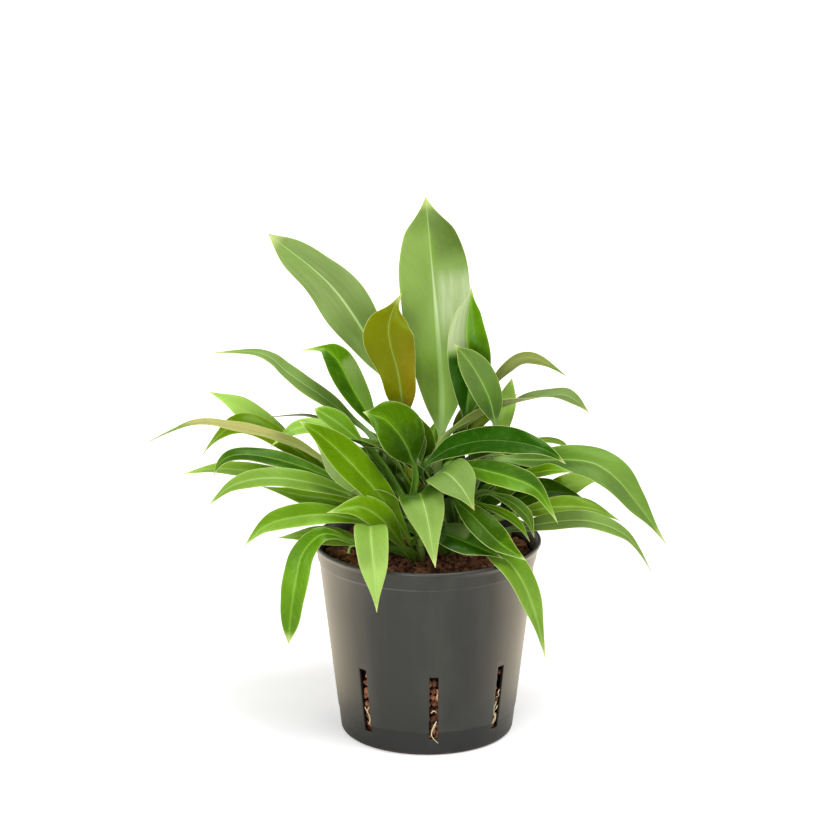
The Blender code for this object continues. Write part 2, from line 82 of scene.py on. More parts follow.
class PotSettings(bpy.types.PropertyGroup):
    """Sizes and finish of the culture pot."""
    lip_radius: a_length("Lip radius", "Outer radius of the rim's lip", POT_HIGH.x)
    height: a_length("Height", "Height from the underside to the lip", POT_HIGH.z)
    foot_radius: a_length("Foot radius", "Outer radius of the body where it meets the floor", 0.0556)
    shoulder_radius: a_length("Shoulder radius", "Outer radius of the body under the collar", 0.069)
    wall: a_length("Wall", "Thickness of the moulded wall", 0.0018)
    collar: a_length("Collar", "Height of the collar under the lip's top", 0.012)
    slot_count: IntProperty(
        name="Slots", description="Number of upright slots round the body", default=8)
    slot_width: a_length("Slot width", "Width of each slot", 0.0056)
    slot_low: a_length("Slot foot", "Height of the slots' lower end", 0.012)
    slot_high: a_length("Slot head", "Height of the slots' upper end", 0.055)
    slot_turn: an_angle("Slot turn", "Turn of the slots round the pot from the front", 4.0)
    colour: a_colour("Plastic", "Colour of the moulded plastic", (0.0205, 0.0205, 0.0155))


class LeafSettings(bpy.types.PropertyGroup):
    """Sizes and colours of the leaves."""
    thickness: a_length("Rib thickness", "Thickness of a leaf at its midrib", 0.0011)
    wave: a_length("Wave", "Height of the waves along a leaf's margin", 0.0011)
    wave_length: a_length("Wave length", "Length of one wave along the margin", 0.042)
    camber: FloatProperty(
        name="Camber", description="How far each half of a blade bulges, as a share of its width",
        default=0.07)
    deep: a_colour("Deep green", "Colour of the darkest old leaves", (0.006, 0.05, 0.0002))
    bright: a_colour("Bright green", "Colour of the lightest young leaves", (0.40, 0.64, 0.12))
    middle: a_colour(
        "Middle green", "Colour of a leaf between the darkest and the lightest", (0.12, 0.28, 0.002))
    dusty: a_colour(
        "Dusty green", "Colour of the dull greyish bloom on the tall leaves", (0.245, 0.335, 0.11))
    tan: a_colour("Tan", "Colour of the underside of the oldest leaves", (0.62, 0.54, 0.20))
    dry: a_colour("Dry tip", "Colour of a drying tip", (0.46, 0.29, 0.10))
    bronze: a_colour("Bronze", "Colour of the newest, unhardened leaf", (0.16, 0.165, 0.0003))
    rust: a_colour("Rust", "Colour of the lower edge of the newest leaf", (0.34, 0.14, 0.01))
    margin: a_colour("Margin", "Colour of the thin margin and the tip", (0.62, 0.70, 0.26))
    rib: a_colour("Midrib", "Colour of the midrib", (0.34, 0.56, 0.15))


class InnerSettings(bpy.types.PropertyGroup):
    """Sizes of the short leaves in the heart of the bush."""
    count: IntProperty(name="Inner leaves", description="How many short leaves", default=32)
    length: a_length("Length", "Length of a short leaf with its stalk", 0.078)
    width: a_length("Width", "Width of a short leaf", 0.015)
    front_gap: an_angle("Front gap", "Angle in front that is left to the long leaves", 130)
    least_lean: an_angle("Least lean", "How far the steepest leaf leans", 48)
    most_lean: an_angle("Most lean", "How far the flattest leaf leans", 80)


class GranuleSettings(bpy.types.PropertyGroup):
    """Size and colours of the clay granules."""
    size: a_length("Granule size", "Mean radius of a granule", 0.0026)
    light: a_colour("Light clay", "Colour of the lightest granules", (0.60, 0.25, 0.13))
    dark: a_colour("Dark clay", "Colour of the darkest granules", (0.07, 0.022, 0.010))


class StageSettings(bpy.types.PropertyGroup):
    """Camera and light."""
    distance: a_length("Camera distance", "How far in front of the pot's axis the camera stands", 1.8)
    eye_height: a_length("Camera height", "Height of the camera over the floor", 0.705)
    pitch: an_angle("Camera pitch", "How far the camera looks down", 15.52)
    lens: FloatProperty(name="Lens", description="Focal length in millimetres", default=126.75)
    daylight: FloatProperty(name="Surround", description="Light from all round", default=0.2)


# ---- small helpers ----

def deselect_all():
    """Leave edit mode and select nothing."""
    if bpy.context.object and bpy.context.object.mode != "OBJECT":
        bpy.ops.object.mode_set(mode="OBJECT")
    bpy.ops.object.select_all(action="DESELECT")


def pick(obj):
    """Make one object the only selected and active one."""
    deselect_all()
    obj.select_set(True)
    bpy.context.view_layer.objects.active = obj


def edit_all(obj):
    """Enter edit mode with the whole mesh selected."""
    pick(obj)
    bpy.ops.object.mode_set(mode="EDIT")
    bpy.ops.mesh.select_all(action="SELECT")


def apply_modifiers(obj):
    """Apply every modifier of a piece in order."""
    pick(obj)
    for name in [modifier.name for modifier in obj.modifiers]:
        bpy.ops.object.modifier_apply(modifier=name)


def smooth(obj, sharpest=None):
    """Shade a piece smooth, but not across edges sharper than an angle in degrees, if one is given."""
    pick(obj)
    if sharpest:
        bpy.ops.object.shade_smooth_by_angle(angle=radians(sharpest))
    else:
        bpy.ops.object.shade_smooth()


def add_object(name, data):
    """A new object in the scene."""
    obj = bpy.data.objects.new(name, data)
    bpy.context.scene.collection.objects.link(obj)
    return obj


def nodes_named(start):
    """The CAD nodes whose names have the same start, in order of name."""
    return sorted(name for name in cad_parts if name.startswith(start))


def merged_copy(node, name):
    """A copy of a CAD node's mesh with its loose triangles joined."""
    deselect_all()
    obj = add_object(name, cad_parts[node].data.copy())
    edit_all(obj)
    bpy.ops.mesh.remove_doubles(threshold=0.00001)
    bpy.ops.object.mode_set(mode="OBJECT")
    obj.data.materials.clear()
    return obj


def made(name):
    """The object that an operator has just made, with its name."""
    obj = bpy.context.object
    obj.name = obj.data.name = name
    return obj


def join_as(name, parts):
    """Join pieces into one, the first one's mesh leading."""
    deselect_all()
    for part in parts:
        part.select_set(True)
    bpy.context.view_layer.objects.active = parts[0]
    bpy.ops.object.join()
    return made(name)


def stand_for(obj, slot, *nodes, material=None):
    """Let a piece ride on the plant, take a material if one is given, and stand for CAD nodes. The slot is
    not used.
    """
    if material:
        obj.data.materials.append(material)
    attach(obj, "root")
    if nodes:
        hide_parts(*nodes)


def rounded_copies(start, new_start, slot, material, square=False):
    """Rounded pieces for the CAD nodes whose names have the same start, squared up first if asked."""
    for node in nodes_named(start):
        piece = merged_copy(node, node.replace(start, new_start))
        if square:
            edit_all(piece)
            bpy.ops.mesh.tris_convert_to_quads(face_threshold=pi, shape_threshold=pi)
        pick(piece)
        rounding = piece.modifiers.new("round", "SUBSURF")
        rounding.levels = rounding.render_levels = 2
        apply_modifiers(piece)
        smooth(piece)
        stand_for(piece, slot, node, material=material)


def store(mesh, label, values):
    """Store a number for each vertex of a mesh."""
    mesh.attributes.new(label, "FLOAT", "POINT").data.foreach_set("value", values)


def ramp(low, high, value):
    """Smooth step from 0 at low to 1 at high."""
    share = min(max((value - low) / (high - low), 0.0), 1.0)
    return share * share * (3 - 2 * share)


def bell(share, middle, reach):
    """A smooth hump, 1 at its middle and 0 beyond its reach."""
    return ramp(middle - reach, middle, share) * (1.0 - ramp(middle, middle + reach, share))


# ---- shader building ----

class Output:
    """A node's output, with which plain sums can be written."""

    def __init__(self, wires, socket):
        self.wires = wires
        self.socket = socket

    def __add__(self, other):
        return self.wires.math("ADD", self, other)

    def __sub__(self, other):
        return self.wires.math("SUBTRACT", self, other)

    def __rsub__(self, other):
        return self.wires.math("SUBTRACT", other, self)

    def __mul__(self, other):
        return self.wires.math("MULTIPLY", self, other)

    def __truediv__(self, other):
        return self.wires.math("DIVIDE", self, other)

    def __abs__(self):
        return self.wires.math("ABSOLUTE", self)


class Wires:
    """Adds nodes to a tree and joins them with short calls."""

    def __init__(self, tree):
        self.tree = tree

    def put(self, source, socket):
        """Feed a socket from a node's output, or set it; a plain colour gets full alpha."""
        if isinstance(source, Output):
            self.tree.links.new(source.socket, socket)
        elif socket.type == "RGBA":
            socket.default_value = (*source, 1.0)
        else:
            socket.default_value = source

    def add(self, kind, feeds=None, **settings):
        """A node of a kind with its plain settings and what feeds its inputs."""
        node = self.tree.nodes.new(kind)
        for name, value in settings.items():
            setattr(node, name, value)
        for name, source in (feeds or {}).items():
            self.put(source, node.inputs[name])
        return node

    def output(self, kind, name, feeds=None, **settings):
        """One output of a new node."""
        return Output(self, self.add(kind, feeds, **settings).outputs[name])

    def math(self, operation, first, second=0.0, clamp=False):
        """A Math node's result."""
        feeds = {0: first, 1: second}
        return self.output("ShaderNodeMath", 0, feeds, operation=operation, use_clamp=clamp)

    def step(self, value, low, high):
        """A smooth 0 to 1 step of a value between two levels."""
        feeds = {"Value": value, "From Min": low, "From Max": high}
        return self.output("ShaderNodeMapRange", "Result", feeds, interpolation_type="SMOOTHSTEP")

    def mix(self, share, first, second):
        """A colour mixed from two colours."""
        feeds = {"Factor": share, "A": first, "B": second}
        return self.output("ShaderNodeMix", "Result", feeds, data_type="RGBA")

    def layers(self, colour, *coats):
        """A colour with coats laid over it in turn, each given by its share and its colour."""
        for share, coat in coats:
            colour = self.mix(share, colour, coat)
        return colour

    def noise(self, place, scale, detail=3.0, rough=0.55, stretch=None):
        """A noise value at a place, optionally stretched along the axes."""
        if stretch:
            place = self.output("ShaderNodeMapping", "Vector", {"Vector": place, "Scale": stretch})
        feeds = {"Vector": place, "Scale": scale, "Detail": detail, "Roughness": rough}
        return self.output("ShaderNodeTexNoise", "Fac", feeds)

    def place(self):
        """Object coordinates."""
        return self.output("ShaderNodeTexCoord", "Object")

    def axis(self, vector, name):
        """The X, Y or Z of a vector."""
        return self.output("ShaderNodeSeparateXYZ", name, {0: vector})

    def point(self, x, y):
        """A flat vector from two values."""
        return self.output("ShaderNodeCombineXYZ", 0, {"X": x, "Y": y})

    def reach(self, vector):
        """The length of a vector."""
        return self.output("ShaderNodeVectorMath", "Value", {0: vector}, operation="LENGTH")

    def uv(self, name, axis):
        """The X, across, or the Y, along, of a named UV map."""
        return self.axis(self.output("ShaderNodeUVMap", "UV", uv_map=name), axis)

    def attribute(self, name):
        """A number stored on the mesh."""
        return self.output("ShaderNodeAttribute", "Fac", attribute_name=name)

    def shade(self, looks):
        """Feed or set sockets of the material's Principled shader."""
        for name, source in looks.items():
            self.put(source, self.tree.nodes["Principled BSDF"].inputs[name])

    def bump(self, height, strength, distance):
        """Give the shader a bump from a height."""
        feeds = {"Height": height, "Strength": strength, "Distance": distance}
        self.shade({"Normal": self.output("ShaderNodeBump", "Normal", feeds)})


def new_material(name):
    """A material with a Principled shader, and its wires."""
    material = bpy.data.materials.new(name)
    material.use_nodes = True
    return material, Wires(material.node_tree)


# ---- the pot ----

SIDES = 144             # faces round the pot
BAND = 0.017            # height of the foot band
CORNER = 0.003          # radius of the corner at the underside
LIP = 0.0013            # radius of the lip's rounding
LIP_PROUD = 0.0018      # how far the lip stands out from the collar
CUTTER_DEPTH = 0.022    # how deep a slot's cutter is, inwards and outwards together
EDGE_RADIUS = 0.00025
# Colours of painted light on the plastic: a reddish reflection along the bottom edge, a highlight line
# under the lip and shade on the inside
PAINTED_RED_BOUNCE = (0.24, 0.10, 0.05)
PAINTED_LIP_HIGHLIGHT = (0.13, 0.12, 0.10)
PAINTED_INSIDE_SHADE = (0.010, 0.007, 0.005)


def body_radius(pot, height):
    """Outer radius of the pot's tapered body at a height."""
    share = height / (pot.height - pot.collar)
    return pot.foot_radius + (pot.shoulder_radius - pot.foot_radius) * share


def pot_section(pot):
    """Radius and height of each ring, from the underside up the outside and down the inside."""
    collar_low = pot.height - pot.collar
    foot, band, neck = [body_radius(pot, height) for height in (0, BAND, collar_low)]
    collar_radius = pot.lip_radius - LIP_PROUD
    rings = []
    for step in range(7):
        angle = pi / 2 * step / 6
        rings.append((foot - CORNER + CORNER * sin(angle), CORNER * (1 - cos(angle))))
    rings += [(band - 0.0005, BAND - 0.0012), (band - 0.0004, BAND - 0.0006)]
    rings += [(body_radius(pot, height), height) for height in (BAND, 0.035, 0.06, 0.09, collar_low)]
    rings += [
        (neck + 0.0008, collar_low + 0.0004),
        (neck + 0.0010, collar_low + 0.0011),
        (collar_radius - 0.0004, pot.height - 0.0052),
        (collar_radius, pot.height - 0.0040),
    ]
    for step in range(9):
        angle = radians(-60 + 195 * step / 8)
        rings.append((pot.lip_radius - LIP + LIP * cos(angle), pot.height - LIP + LIP * sin(angle)))
    rings += [
        (collar_radius - pot.wall, pot.height - 0.0030),
        (neck - pot.wall + 0.0004, collar_low),
        (body_radius(pot, 0.06) - pot.wall, 0.06),
        (body_radius(pot, 0.0045) - pot.wall, 0.0045),
        (body_radius(pot, 0.0025) - pot.wall - 0.002, 0.0025),
    ]
    return rings


def ring_to(now, radius, rise):
    """Extrude the selected ring to a new radius and height."""
    bpy.ops.mesh.extrude_region_move(TRANSFORM_OT_translate={"value": (0.0, 0.0, rise)})
    scale = radius / now
    bpy.ops.transform.resize(value=(scale, scale, 1.0), center_override=(0.0, 0.0, 0.0))


def slot_angle(pot, index):
    """Where a slot stands round the pot."""
    return tau * index / pot.slot_count - pi / 2 + pot.slot_turn


def slot_spot(pot, index, shift, height, out):
    """A place at a slot: sideways from its middle, over the floor and out from the body's face."""
    angle = slot_angle(pot, index)
    outward = Vector((cos(angle), sin(angle), 0.0))
    sideways = Vector((-sin(angle), cos(angle), 0.0))
    spot = outward * (body_radius(pot, height) + out) + sideways * shift
    spot.z = height
    return spot


def slot_cutters(pot):
    """One object with a box for each slot."""
    middle = (pot.slot_low + pot.slot_high) / 2
    reach = (pot.foot_radius + pot.shoulder_radius) / 2
    boxes = []
    for index in range(pot.slot_count):
        angle = slot_angle(pot, index)
        bpy.ops.mesh.primitive_cube_add(
            size=1.0,
            location=(reach * cos(angle), reach * sin(angle), middle),
            rotation=(0.0, 0.0, angle),
            scale=(CUTTER_DEPTH, pot.slot_width, pot.slot_high - pot.slot_low))
        boxes.append(bpy.context.object)
    return join_as("slot_cutters", boxes[::-1])


def plastic_material(pot):
    """Satin dark plastic with upright streaks, dust and a dark foot band, with a painted reddish reflection
    along the bottom edge, a painted highlight line under the lip and painted shade on the inside.
    """
    material, wires = new_material("pot_plastic")
    place = wires.place()
    height = wires.axis(place, "Z")
    streak = wires.noise(place, 34.0, 4.0, 0.6, (1.0, 1.0, 0.05))
    cloud = wires.noise(place, 16.0, 4.0, 0.6)
    fine = wires.noise(place, 900.0, 2.0, 0.5)
    ragged = height + wires.noise(place, 90.0, 3.0) * -0.004
    dusty = [channel * 1.8 + 0.008 for channel in pot.colour]
    dark = [channel * 0.42 for channel in pot.colour]
    above_groove = wires.step(height, 0.1137, 0.1142)
    below_collar = 1.0 - wires.step(height, 0.1150, 0.1156)
    taper = (pot.shoulder_radius - pot.foot_radius) / (pot.height - pot.collar)
    limit = height * taper + (pot.foot_radius - pot.wall / 4)
    flat = wires.output("ShaderNodeVectorMath", 0, {0: place, 1: (1.0, 1.0, 0.0)}, operation="MULTIPLY")
    colour = wires.layers(
        pot.colour,
        (wires.step(streak, 0.42, 0.68) * 0.6, dusty),
        (wires.step(cloud, 0.46, 0.72) * 0.5, dusty),
        ((1.0 - wires.step(ragged, 0.0135, 0.0155)) * 0.9, dark),
        # painted reflection: a reddish bounce along the bottom edge
        ((1.0 - wires.step(ragged, -0.0014, 0.0004)) * 0.8, PAINTED_RED_BOUNCE),
        # painted highlight: a pale patchy line near the top of the collar, under the lip
        (above_groove * below_collar * wires.step(cloud, 0.3, 0.7) * 0.5, PAINTED_LIP_HIGHLIGHT),
        # painted shade: the inside of the pot, within the body's outer face, is made nearly black
        (wires.step(limit - wires.reach(flat), -0.0001, 0.0001) * 0.8, PAINTED_INSIDE_SHADE))
    wires.shade({"Base Color": colour, "Roughness": streak * 0.16 + 0.34})
    wires.bump(fine * 0.25 + streak, 0.18, 0.0004)
    return material


class PLANT_OT_pot(bpy.types.Operator):
    """Model the slotted culture pot"""
    bl_idname = "plant.pot"
    bl_label = "Culture pot"

    def execute(self, context):
        pot = context.scene.plant_pot
        rings = pot_section(pot)
        deselect_all()
        first_radius, first_height = rings[0]
        bpy.ops.mesh.primitive_circle_add(
            vertices=SIDES, radius=first_radius, fill_type="NOTHING", location=(0, 0, first_height))
        shell = made("culture_pot")
        bpy.ops.object.transform_apply(location=True, rotation=True, scale=True)
        edit_all(shell)
        for (radius_now, height_now), (radius, height) in zip(rings, rings[1:]):
            ring_to(radius_now, radius, height - height_now)
        bpy.ops.mesh.select_all(action="SELECT")
        bpy.ops.mesh.fill_holes(sides=0)
        bpy.ops.mesh.normals_make_consistent(inside=False)
        deselect_all()
        cutter = slot_cutters(pot)
        cut = shell.modifiers.new("slots", "BOOLEAN")
        cut.operation = "DIFFERENCE"
        cut.object = cutter
        soften = shell.modifiers.new("soft_edges", "BEVEL")
        soften.width = EDGE_RADIUS
        soften.segments = 2
        soften.limit_method = "ANGLE"
        soften.angle_limit = radians(50)
        apply_modifiers(shell)
        bpy.data.objects.remove(cutter)
        smooth(shell, 32)
        stand_for(shell, "pot_plastic", "pot", material=plastic_material(pot))
        return {"FINISHED"}


# ---- the leaves ----

PETIOLE_RINGS = 4       # rings of a leaf solid that belong to its stalk
STALK_ROWS = 12
BLADE_ROWS = 50
COLUMNS = (-1.0, -0.95, -0.8, -0.58, -0.34, -0.13, 0.0, 0.13, 0.34, 0.58, 0.8, 0.95, 1.0)
STALK_HALF_WIDTH = 0.0021
STALK_DEPTH = 0.0012
STALK_WRAP = pi * 0.47  # how far the face turns round the stalk on each side
NARROWEST_HALF = 0.00018
EDGE_THICKNESS = 0.2    # as a share of the leaf's thickness
STALK_THICKNESS = 0.95
TIP_START = 0.86        # where waves fade and a hooked tip begins to turn
WAVY_WIDTH = 0.011      # half width of a blade whose waves are at their full height
RIB_SHARE = 0.07        # half width of the midrib as a share of the blade's
PATCH_FADE = 0.12
LEAF_SEED = 100
CENTIMETRES = 100
# Pale colours of thick bloom, on the blade and on the midrib, also used as a painted whitish sheen, a
# painted highlight
THICK_BLOOM_AND_PAINTED_SHEEN = (0.52, 0.60, 0.36)
BLOOM_AND_SHEEN_RIB = (0.55, 0.66, 0.38)
PALE_UNDER = (0.26, 0.38, 0.10)
LEAF_TINT = (0.5, 1.0, 0.15)
# The leaf settings that the leaf pattern takes as inputs
LEAF_COLOURS = ("deep", "middle", "bright", "dusty", "tan", "dry", "bronze", "rust", "margin", "rib")

# How each leaf looks: lightness from 0, deep green, to 1, bright; bronze from 0 to 1; tan underside
# from 0 to 1; bloom on the upper face, where less than 0 means gloss, and where high it also paints a
# whitish sheen, a painted highlight. The last look, the midrib's half width in centimetres, follows
# from the blade.
LOOKS = ("light", "bronze", "tan", "bloom", "rib")
# The lightness of each leaf was set to how bright the leaf looks, so besides the leaf's own green it holds
# some painted light and shade.
LEAF_LOOKS = {
    "tall_middle": (0.52, 0.25, 0, 0.9), "high_left": (0.13, 0.25, 0, 1.1),
    "new_olive": (0.3, 1.0, 0.2, 0), "glossy_left": (0.3, 0, 0, -0.4), "high_thin": (0.35, 0.1, 0.5, 1.0),
    "pale_far_left": (0.85, 0.1, 0.1, 0), "longest_left": (0.55, 0.15, 1.0, 0.2),
    "dark_left": (0.35, 0.35, 0.3, 0), "edge_left": (0.05, 0.2, 0.3, 0), "small_left": (0.7, 0, 0.2, 0.1),
    "blunt_left": (0.5, 0, 0, 0.1), "bright_front": (0.35, 0.15, 0, 0),
    "pale_behind_front": (1.0, 0.1, 0, 1.3), "arched_left": (0.1, 0, 0, 0.1),
    "yellow_tip_left": (0.55, 0.2, 0, 0), "wavy_left": (0.5, 0.1, 0, 0.5), "under_left": (0.42, 0.2, 0, 0),
    "low_left": (0.38, 0.1, 0, 0.1), "lowest_left": (0.5, 0.3, 0, 0), "hanging_left": (0.28, 0, 0, 0.1),
    "hanging_front_left": (0.74, 0.1, 0, 0.6), "arch_front_left": (0.42, 0.2, 0, 0),
    "hanging_front": (0.38, 0.1, 0, 0.8), "dark_round": (0.01, 0.08, 0, 0), "dark_arch": (-0.15, 0, 0, 0),
    "right_arch": (0.32, 0, 0, 0.1), "folded_front": (0.3, 0.1, 0.8, 0.9),
    "dark_front_right": (-0.25, 0.1, 0, 0), "glossy_low": (-0.05, 0, 0, -1.6),
    "hanging_right": (0.5, 0.1, 0, 0.35), "far_right": (0.15, 0, 0, 0.6),
    "yellow_right": (0.95, 0.35, 0, 0), "olive_right": (0.6, 0.3, 0.3, 0.1),
    "twisted_right": (0.02, 0.2, 0.6, 0.7), "upper_arch_right": (0.3, 0.4, 0.4, 0.1),
    "long_right": (0.1, 0.2, 0.6, 0.4), "dark_middle": (0.1, 0, 0, -0.1),
    "blue_middle": (0.14, 0, 0, 0.55), "pale_right": (0.95, 0.2, 0, 0.1),
    "thin_arch_right": (0.7, 0.2, 0.3, 0.1), "pink_edge_right": (0.3, 0.15, 0.6, 0),
    "narrow_right": (0.15, 0.1, 0.2, 0.2), "thin_right": (0.3, 0.1, 0.2, 0),
}
BACK_LEAF_LOOK = (0.3, 0.1, 0.1, 0.0)

# Patches within a leaf: the side (0 both), where they start and end, and how much they add to looks.
# The patches on one side of a blade that change its light or bloom are painted light and shade, one
# half lit and the other shaded, and the whitish bloom patches on tall_middle, dark_middle, glossy_left
# and glossy_low are painted highlights.
LEAF_PATCHES_WITH_PAINTED_LIGHT = {
    "tall_middle": [
        (0, 0.0, 0.5, {"rib": 0.14}), (1, 0.42, 0.58, {"bloom": 0.8}),
        (1, 0.74, 0.84, {"light": -0.6, "bloom": -0.55}), (-1, 0.0, 0.25, {"light": -0.25}),
        (-1, 0.4, 0.75, {"light": 0.15}), (0, 0.9, 1.0, {"light": -0.25})],
    "longest_left": [
        (0, 0.0, 0.26, {"tan": -0.7, "light": -0.8, "bronze": 0.55}), (0, 0.85, 1.0, {"tan": -0.6})],
    "long_right": [
        (0, 0.0, 0.36, {"tan": -0.5, "light": -0.45, "bronze": 0.4}), (0, 0.55, 0.9, {"bloom": 0.6})],
    "high_left": [(0, 0.0, 0.7, {"rib": 0.04})],
    "dark_middle": [
        (-1, 0.55, 0.92, {"bloom": 1.75, "light": 0.7}), (-1, 0.0, 0.45, {"light": -0.3}),
        (1, 0.1, 0.6, {"light": 0.1}), (1, 0.7, 1.0, {"light": 0.2})],
    "dark_front_right": [(0, 0.7, 1.0, {"light": 0.35})],
    "low_left": [(-1, 0.3, 1.0, {"light": 0.25})],
    "far_right": [(-1, 0.3, 1.0, {"light": 0.2})],
    "twisted_right": [(0, 0.5, 1.0, {"tan": 0.4, "light": 0.3})],
    "glossy_left": [(1, 0.0, 0.55, {"bloom": 1.4}), (-1, 0.1, 0.8, {"light": -0.2})],
    "yellow_right": [(0, 0.0, 0.4, {"light": -0.7})],
    "hanging_front": [(0, 0.0, 0.42, {"light": -0.4, "bloom": -0.7}), (0, 0.8, 1.0, {"light": 0.2})],
    "dark_round": [(0, 0.5, 1.0, {"light": 0.06})],
    "glossy_low": [(-1, 0.2, 0.48, {"bloom": 2.6}), (1, 0.15, 0.25, {"bloom": 2.6})],
    "hanging_front_left": [(0, 0.7, 1.0, {"light": 0.3})],
    "new_olive": [(-1, 0.1, 0.5, {"light": -0.2})],
    "right_arch": [(-1, 0.2, 0.7, {"light": -0.2})],
}

# Leaves that draw in to a blunt tip, and leaves that stay wide until near the tip
BLUNT_LEAVES = ("high_left", "hanging_left", "blunt_left")
FULL_LEAVES = (
    "tall_middle", "new_olive", "dark_round", "blue_middle", "dark_middle", "glossy_left", "far_right")
# Blades that swell beyond their outline: middle, reach and share of the widest half
SWELLS = {"new_olive": (0.05, 0.24, 0.26), "high_thin": (0.3, 0.35, 0.4), "long_right": (0.8, 0.2, 0.35)}
# Tips that curl on beyond their outline, metres
HOOKS = {"glossy_left": Vector((-0.011, -0.002, -0.003)), "new_olive": Vector((0.003, 0, 0.003))}


def neighbours_of(mesh):
    """The joined vertices of each vertex."""
    near = [set() for vertex in mesh.vertices]
    for edge in mesh.edges:
        first, second = edge.vertices
        near[first].add(second)
        near[second].add(first)
    return near


def rings_from(start, near):
    """Vertices in rings by how many edges they lie from a start vertex."""
    seen = {start}
    rings = [[start]]
    while True:
        after = {other for vertex in rings[-1] for other in near[vertex]} - seen
        if not after:
            return rings
        seen |= after
        rings.append(sorted(after))


def tip_and_rings(node, near):
    """The tip of a leaf solid, and the rings of four corners that follow it down the leaf."""
    for start, joined in enumerate(near):
        if len(joined) == 4:
            rings = rings_from(start, near)[1:]
            if all(len(ring) == 4 for ring in rings):
                return start, rings
    raise RuntimeError("no tip found on " + node)


def margin_corners(corners, across):
    """Which two of a ring's corners lie on the margins: furthest apart, or furthest along across."""
    if across is None:
        pairs = [(a, b) for a in range(4) for b in range(a + 1, 4)]
        return max(pairs, key=lambda pair: (corners[pair[0]] - corners[pair[1]]).length)
    middle = sum(corners, Vector()) / 4
    along = [(corner - middle).dot(across) for corner in corners]
    return along.index(min(along)), along.index(max(along))


def leaf_frame(node):
    """A leaf's margins, rib and tip, from its stalk's foot upwards, read from its CAD solid."""
    copy = merged_copy(node, "reading")
    places = [vertex.co.copy() for vertex in copy.data.vertices]
    start, rings = tip_and_rings(node, neighbours_of(copy.data))
    bpy.data.meshes.remove(copy.data)
    left, right, top, under = [], [], [], []
    across = None
    for ring in rings:
        corners = [places[index] for index in ring]
        first, second = margin_corners(corners, across)
        across = (corners[second] - corners[first]).normalized()
        others = [corners[index] for index in range(4) if index not in (first, second)]
        for side, corner in zip((left, right, top, under), (corners[first], corners[second], *others)):
            side.insert(0, corner)
    spine = [(one + other) / 2 for one, other in zip(left, right)] + [places[start]]
    ups = []
    below = 0.0
    for index in range(len(left)):
        tangent = (spine[index + 1] - spine[max(index - 1, 0)]).normalized()
        up = (right[index] - left[index]).cross(tangent).normalized()
        if (top[index] - under[index]).dot(up) < 0:
            top[index], under[index] = under[index], top[index]
        ups.append(up)
        if index > PETIOLE_RINGS:
            below += ((top[index] + under[index]) / 2 - spine[index]).dot(up)
    if below > 0:
        left, right = right, left
        top, under = under, top
        ups = [-up for up in ups]
    return left, right, top, ups, places[start]


def along_curve(points, place):
    """A smooth point on a list of points, place counted in points."""
    last = len(points) - 1
    place = min(max(place, 0.0), last - 1e-6)
    index = int(place)
    share = place - index
    second = points[index]
    third = points[index + 1]
    first = points[index - 1] if index else second * 2 - third
    fourth = points[index + 2] if index + 2 <= last else third * 2 - second
    square = share * share
    cube = square * share
    return (
        first * (-0.5 * share + square - 0.5 * cube)
        + second * (1 - 2.5 * square + 1.5 * cube)
        + third * (0.5 * share + 2 * square - 1.5 * cube)
        + fourth * (-0.5 * square + 0.5 * cube)
    )


def row_place(row, rings):
    """A row's share of the blade, from 0 to 1, and its place counted in the outline's rings."""
    if row <= STALK_ROWS:
        return 0.0, PETIOLE_RINGS * row / STALK_ROWS
    share = (row - STALK_ROWS) / BLADE_ROWS
    return share, PETIOLE_RINGS + (rings - PETIOLE_RINGS) * share ** 0.97


def tip_shape(label, chance):
    """How strongly a blade draws in towards its tip, and where that starts."""
    point = chance.uniform(0.3, 0.55)
    if label in BLUNT_LEAVES:
        return -0.35, 0.7
    return point, 0.8 if label in FULL_LEAVES else 0.6


def thickness_at(wide, share, gutter):
    """A leaf's thickness as a share of the most: thickest at the rib and in the stalk, least outside."""
    thin = EDGE_THICKNESS
    if wide <= 0.9:
        thin = 0.3 + 0.6 * (1.0 - ramp(0.0, 0.12, wide)) * (1.0 - 0.6 * share)
    return thin * (1 - gutter) + STALK_THICKNESS * gutter


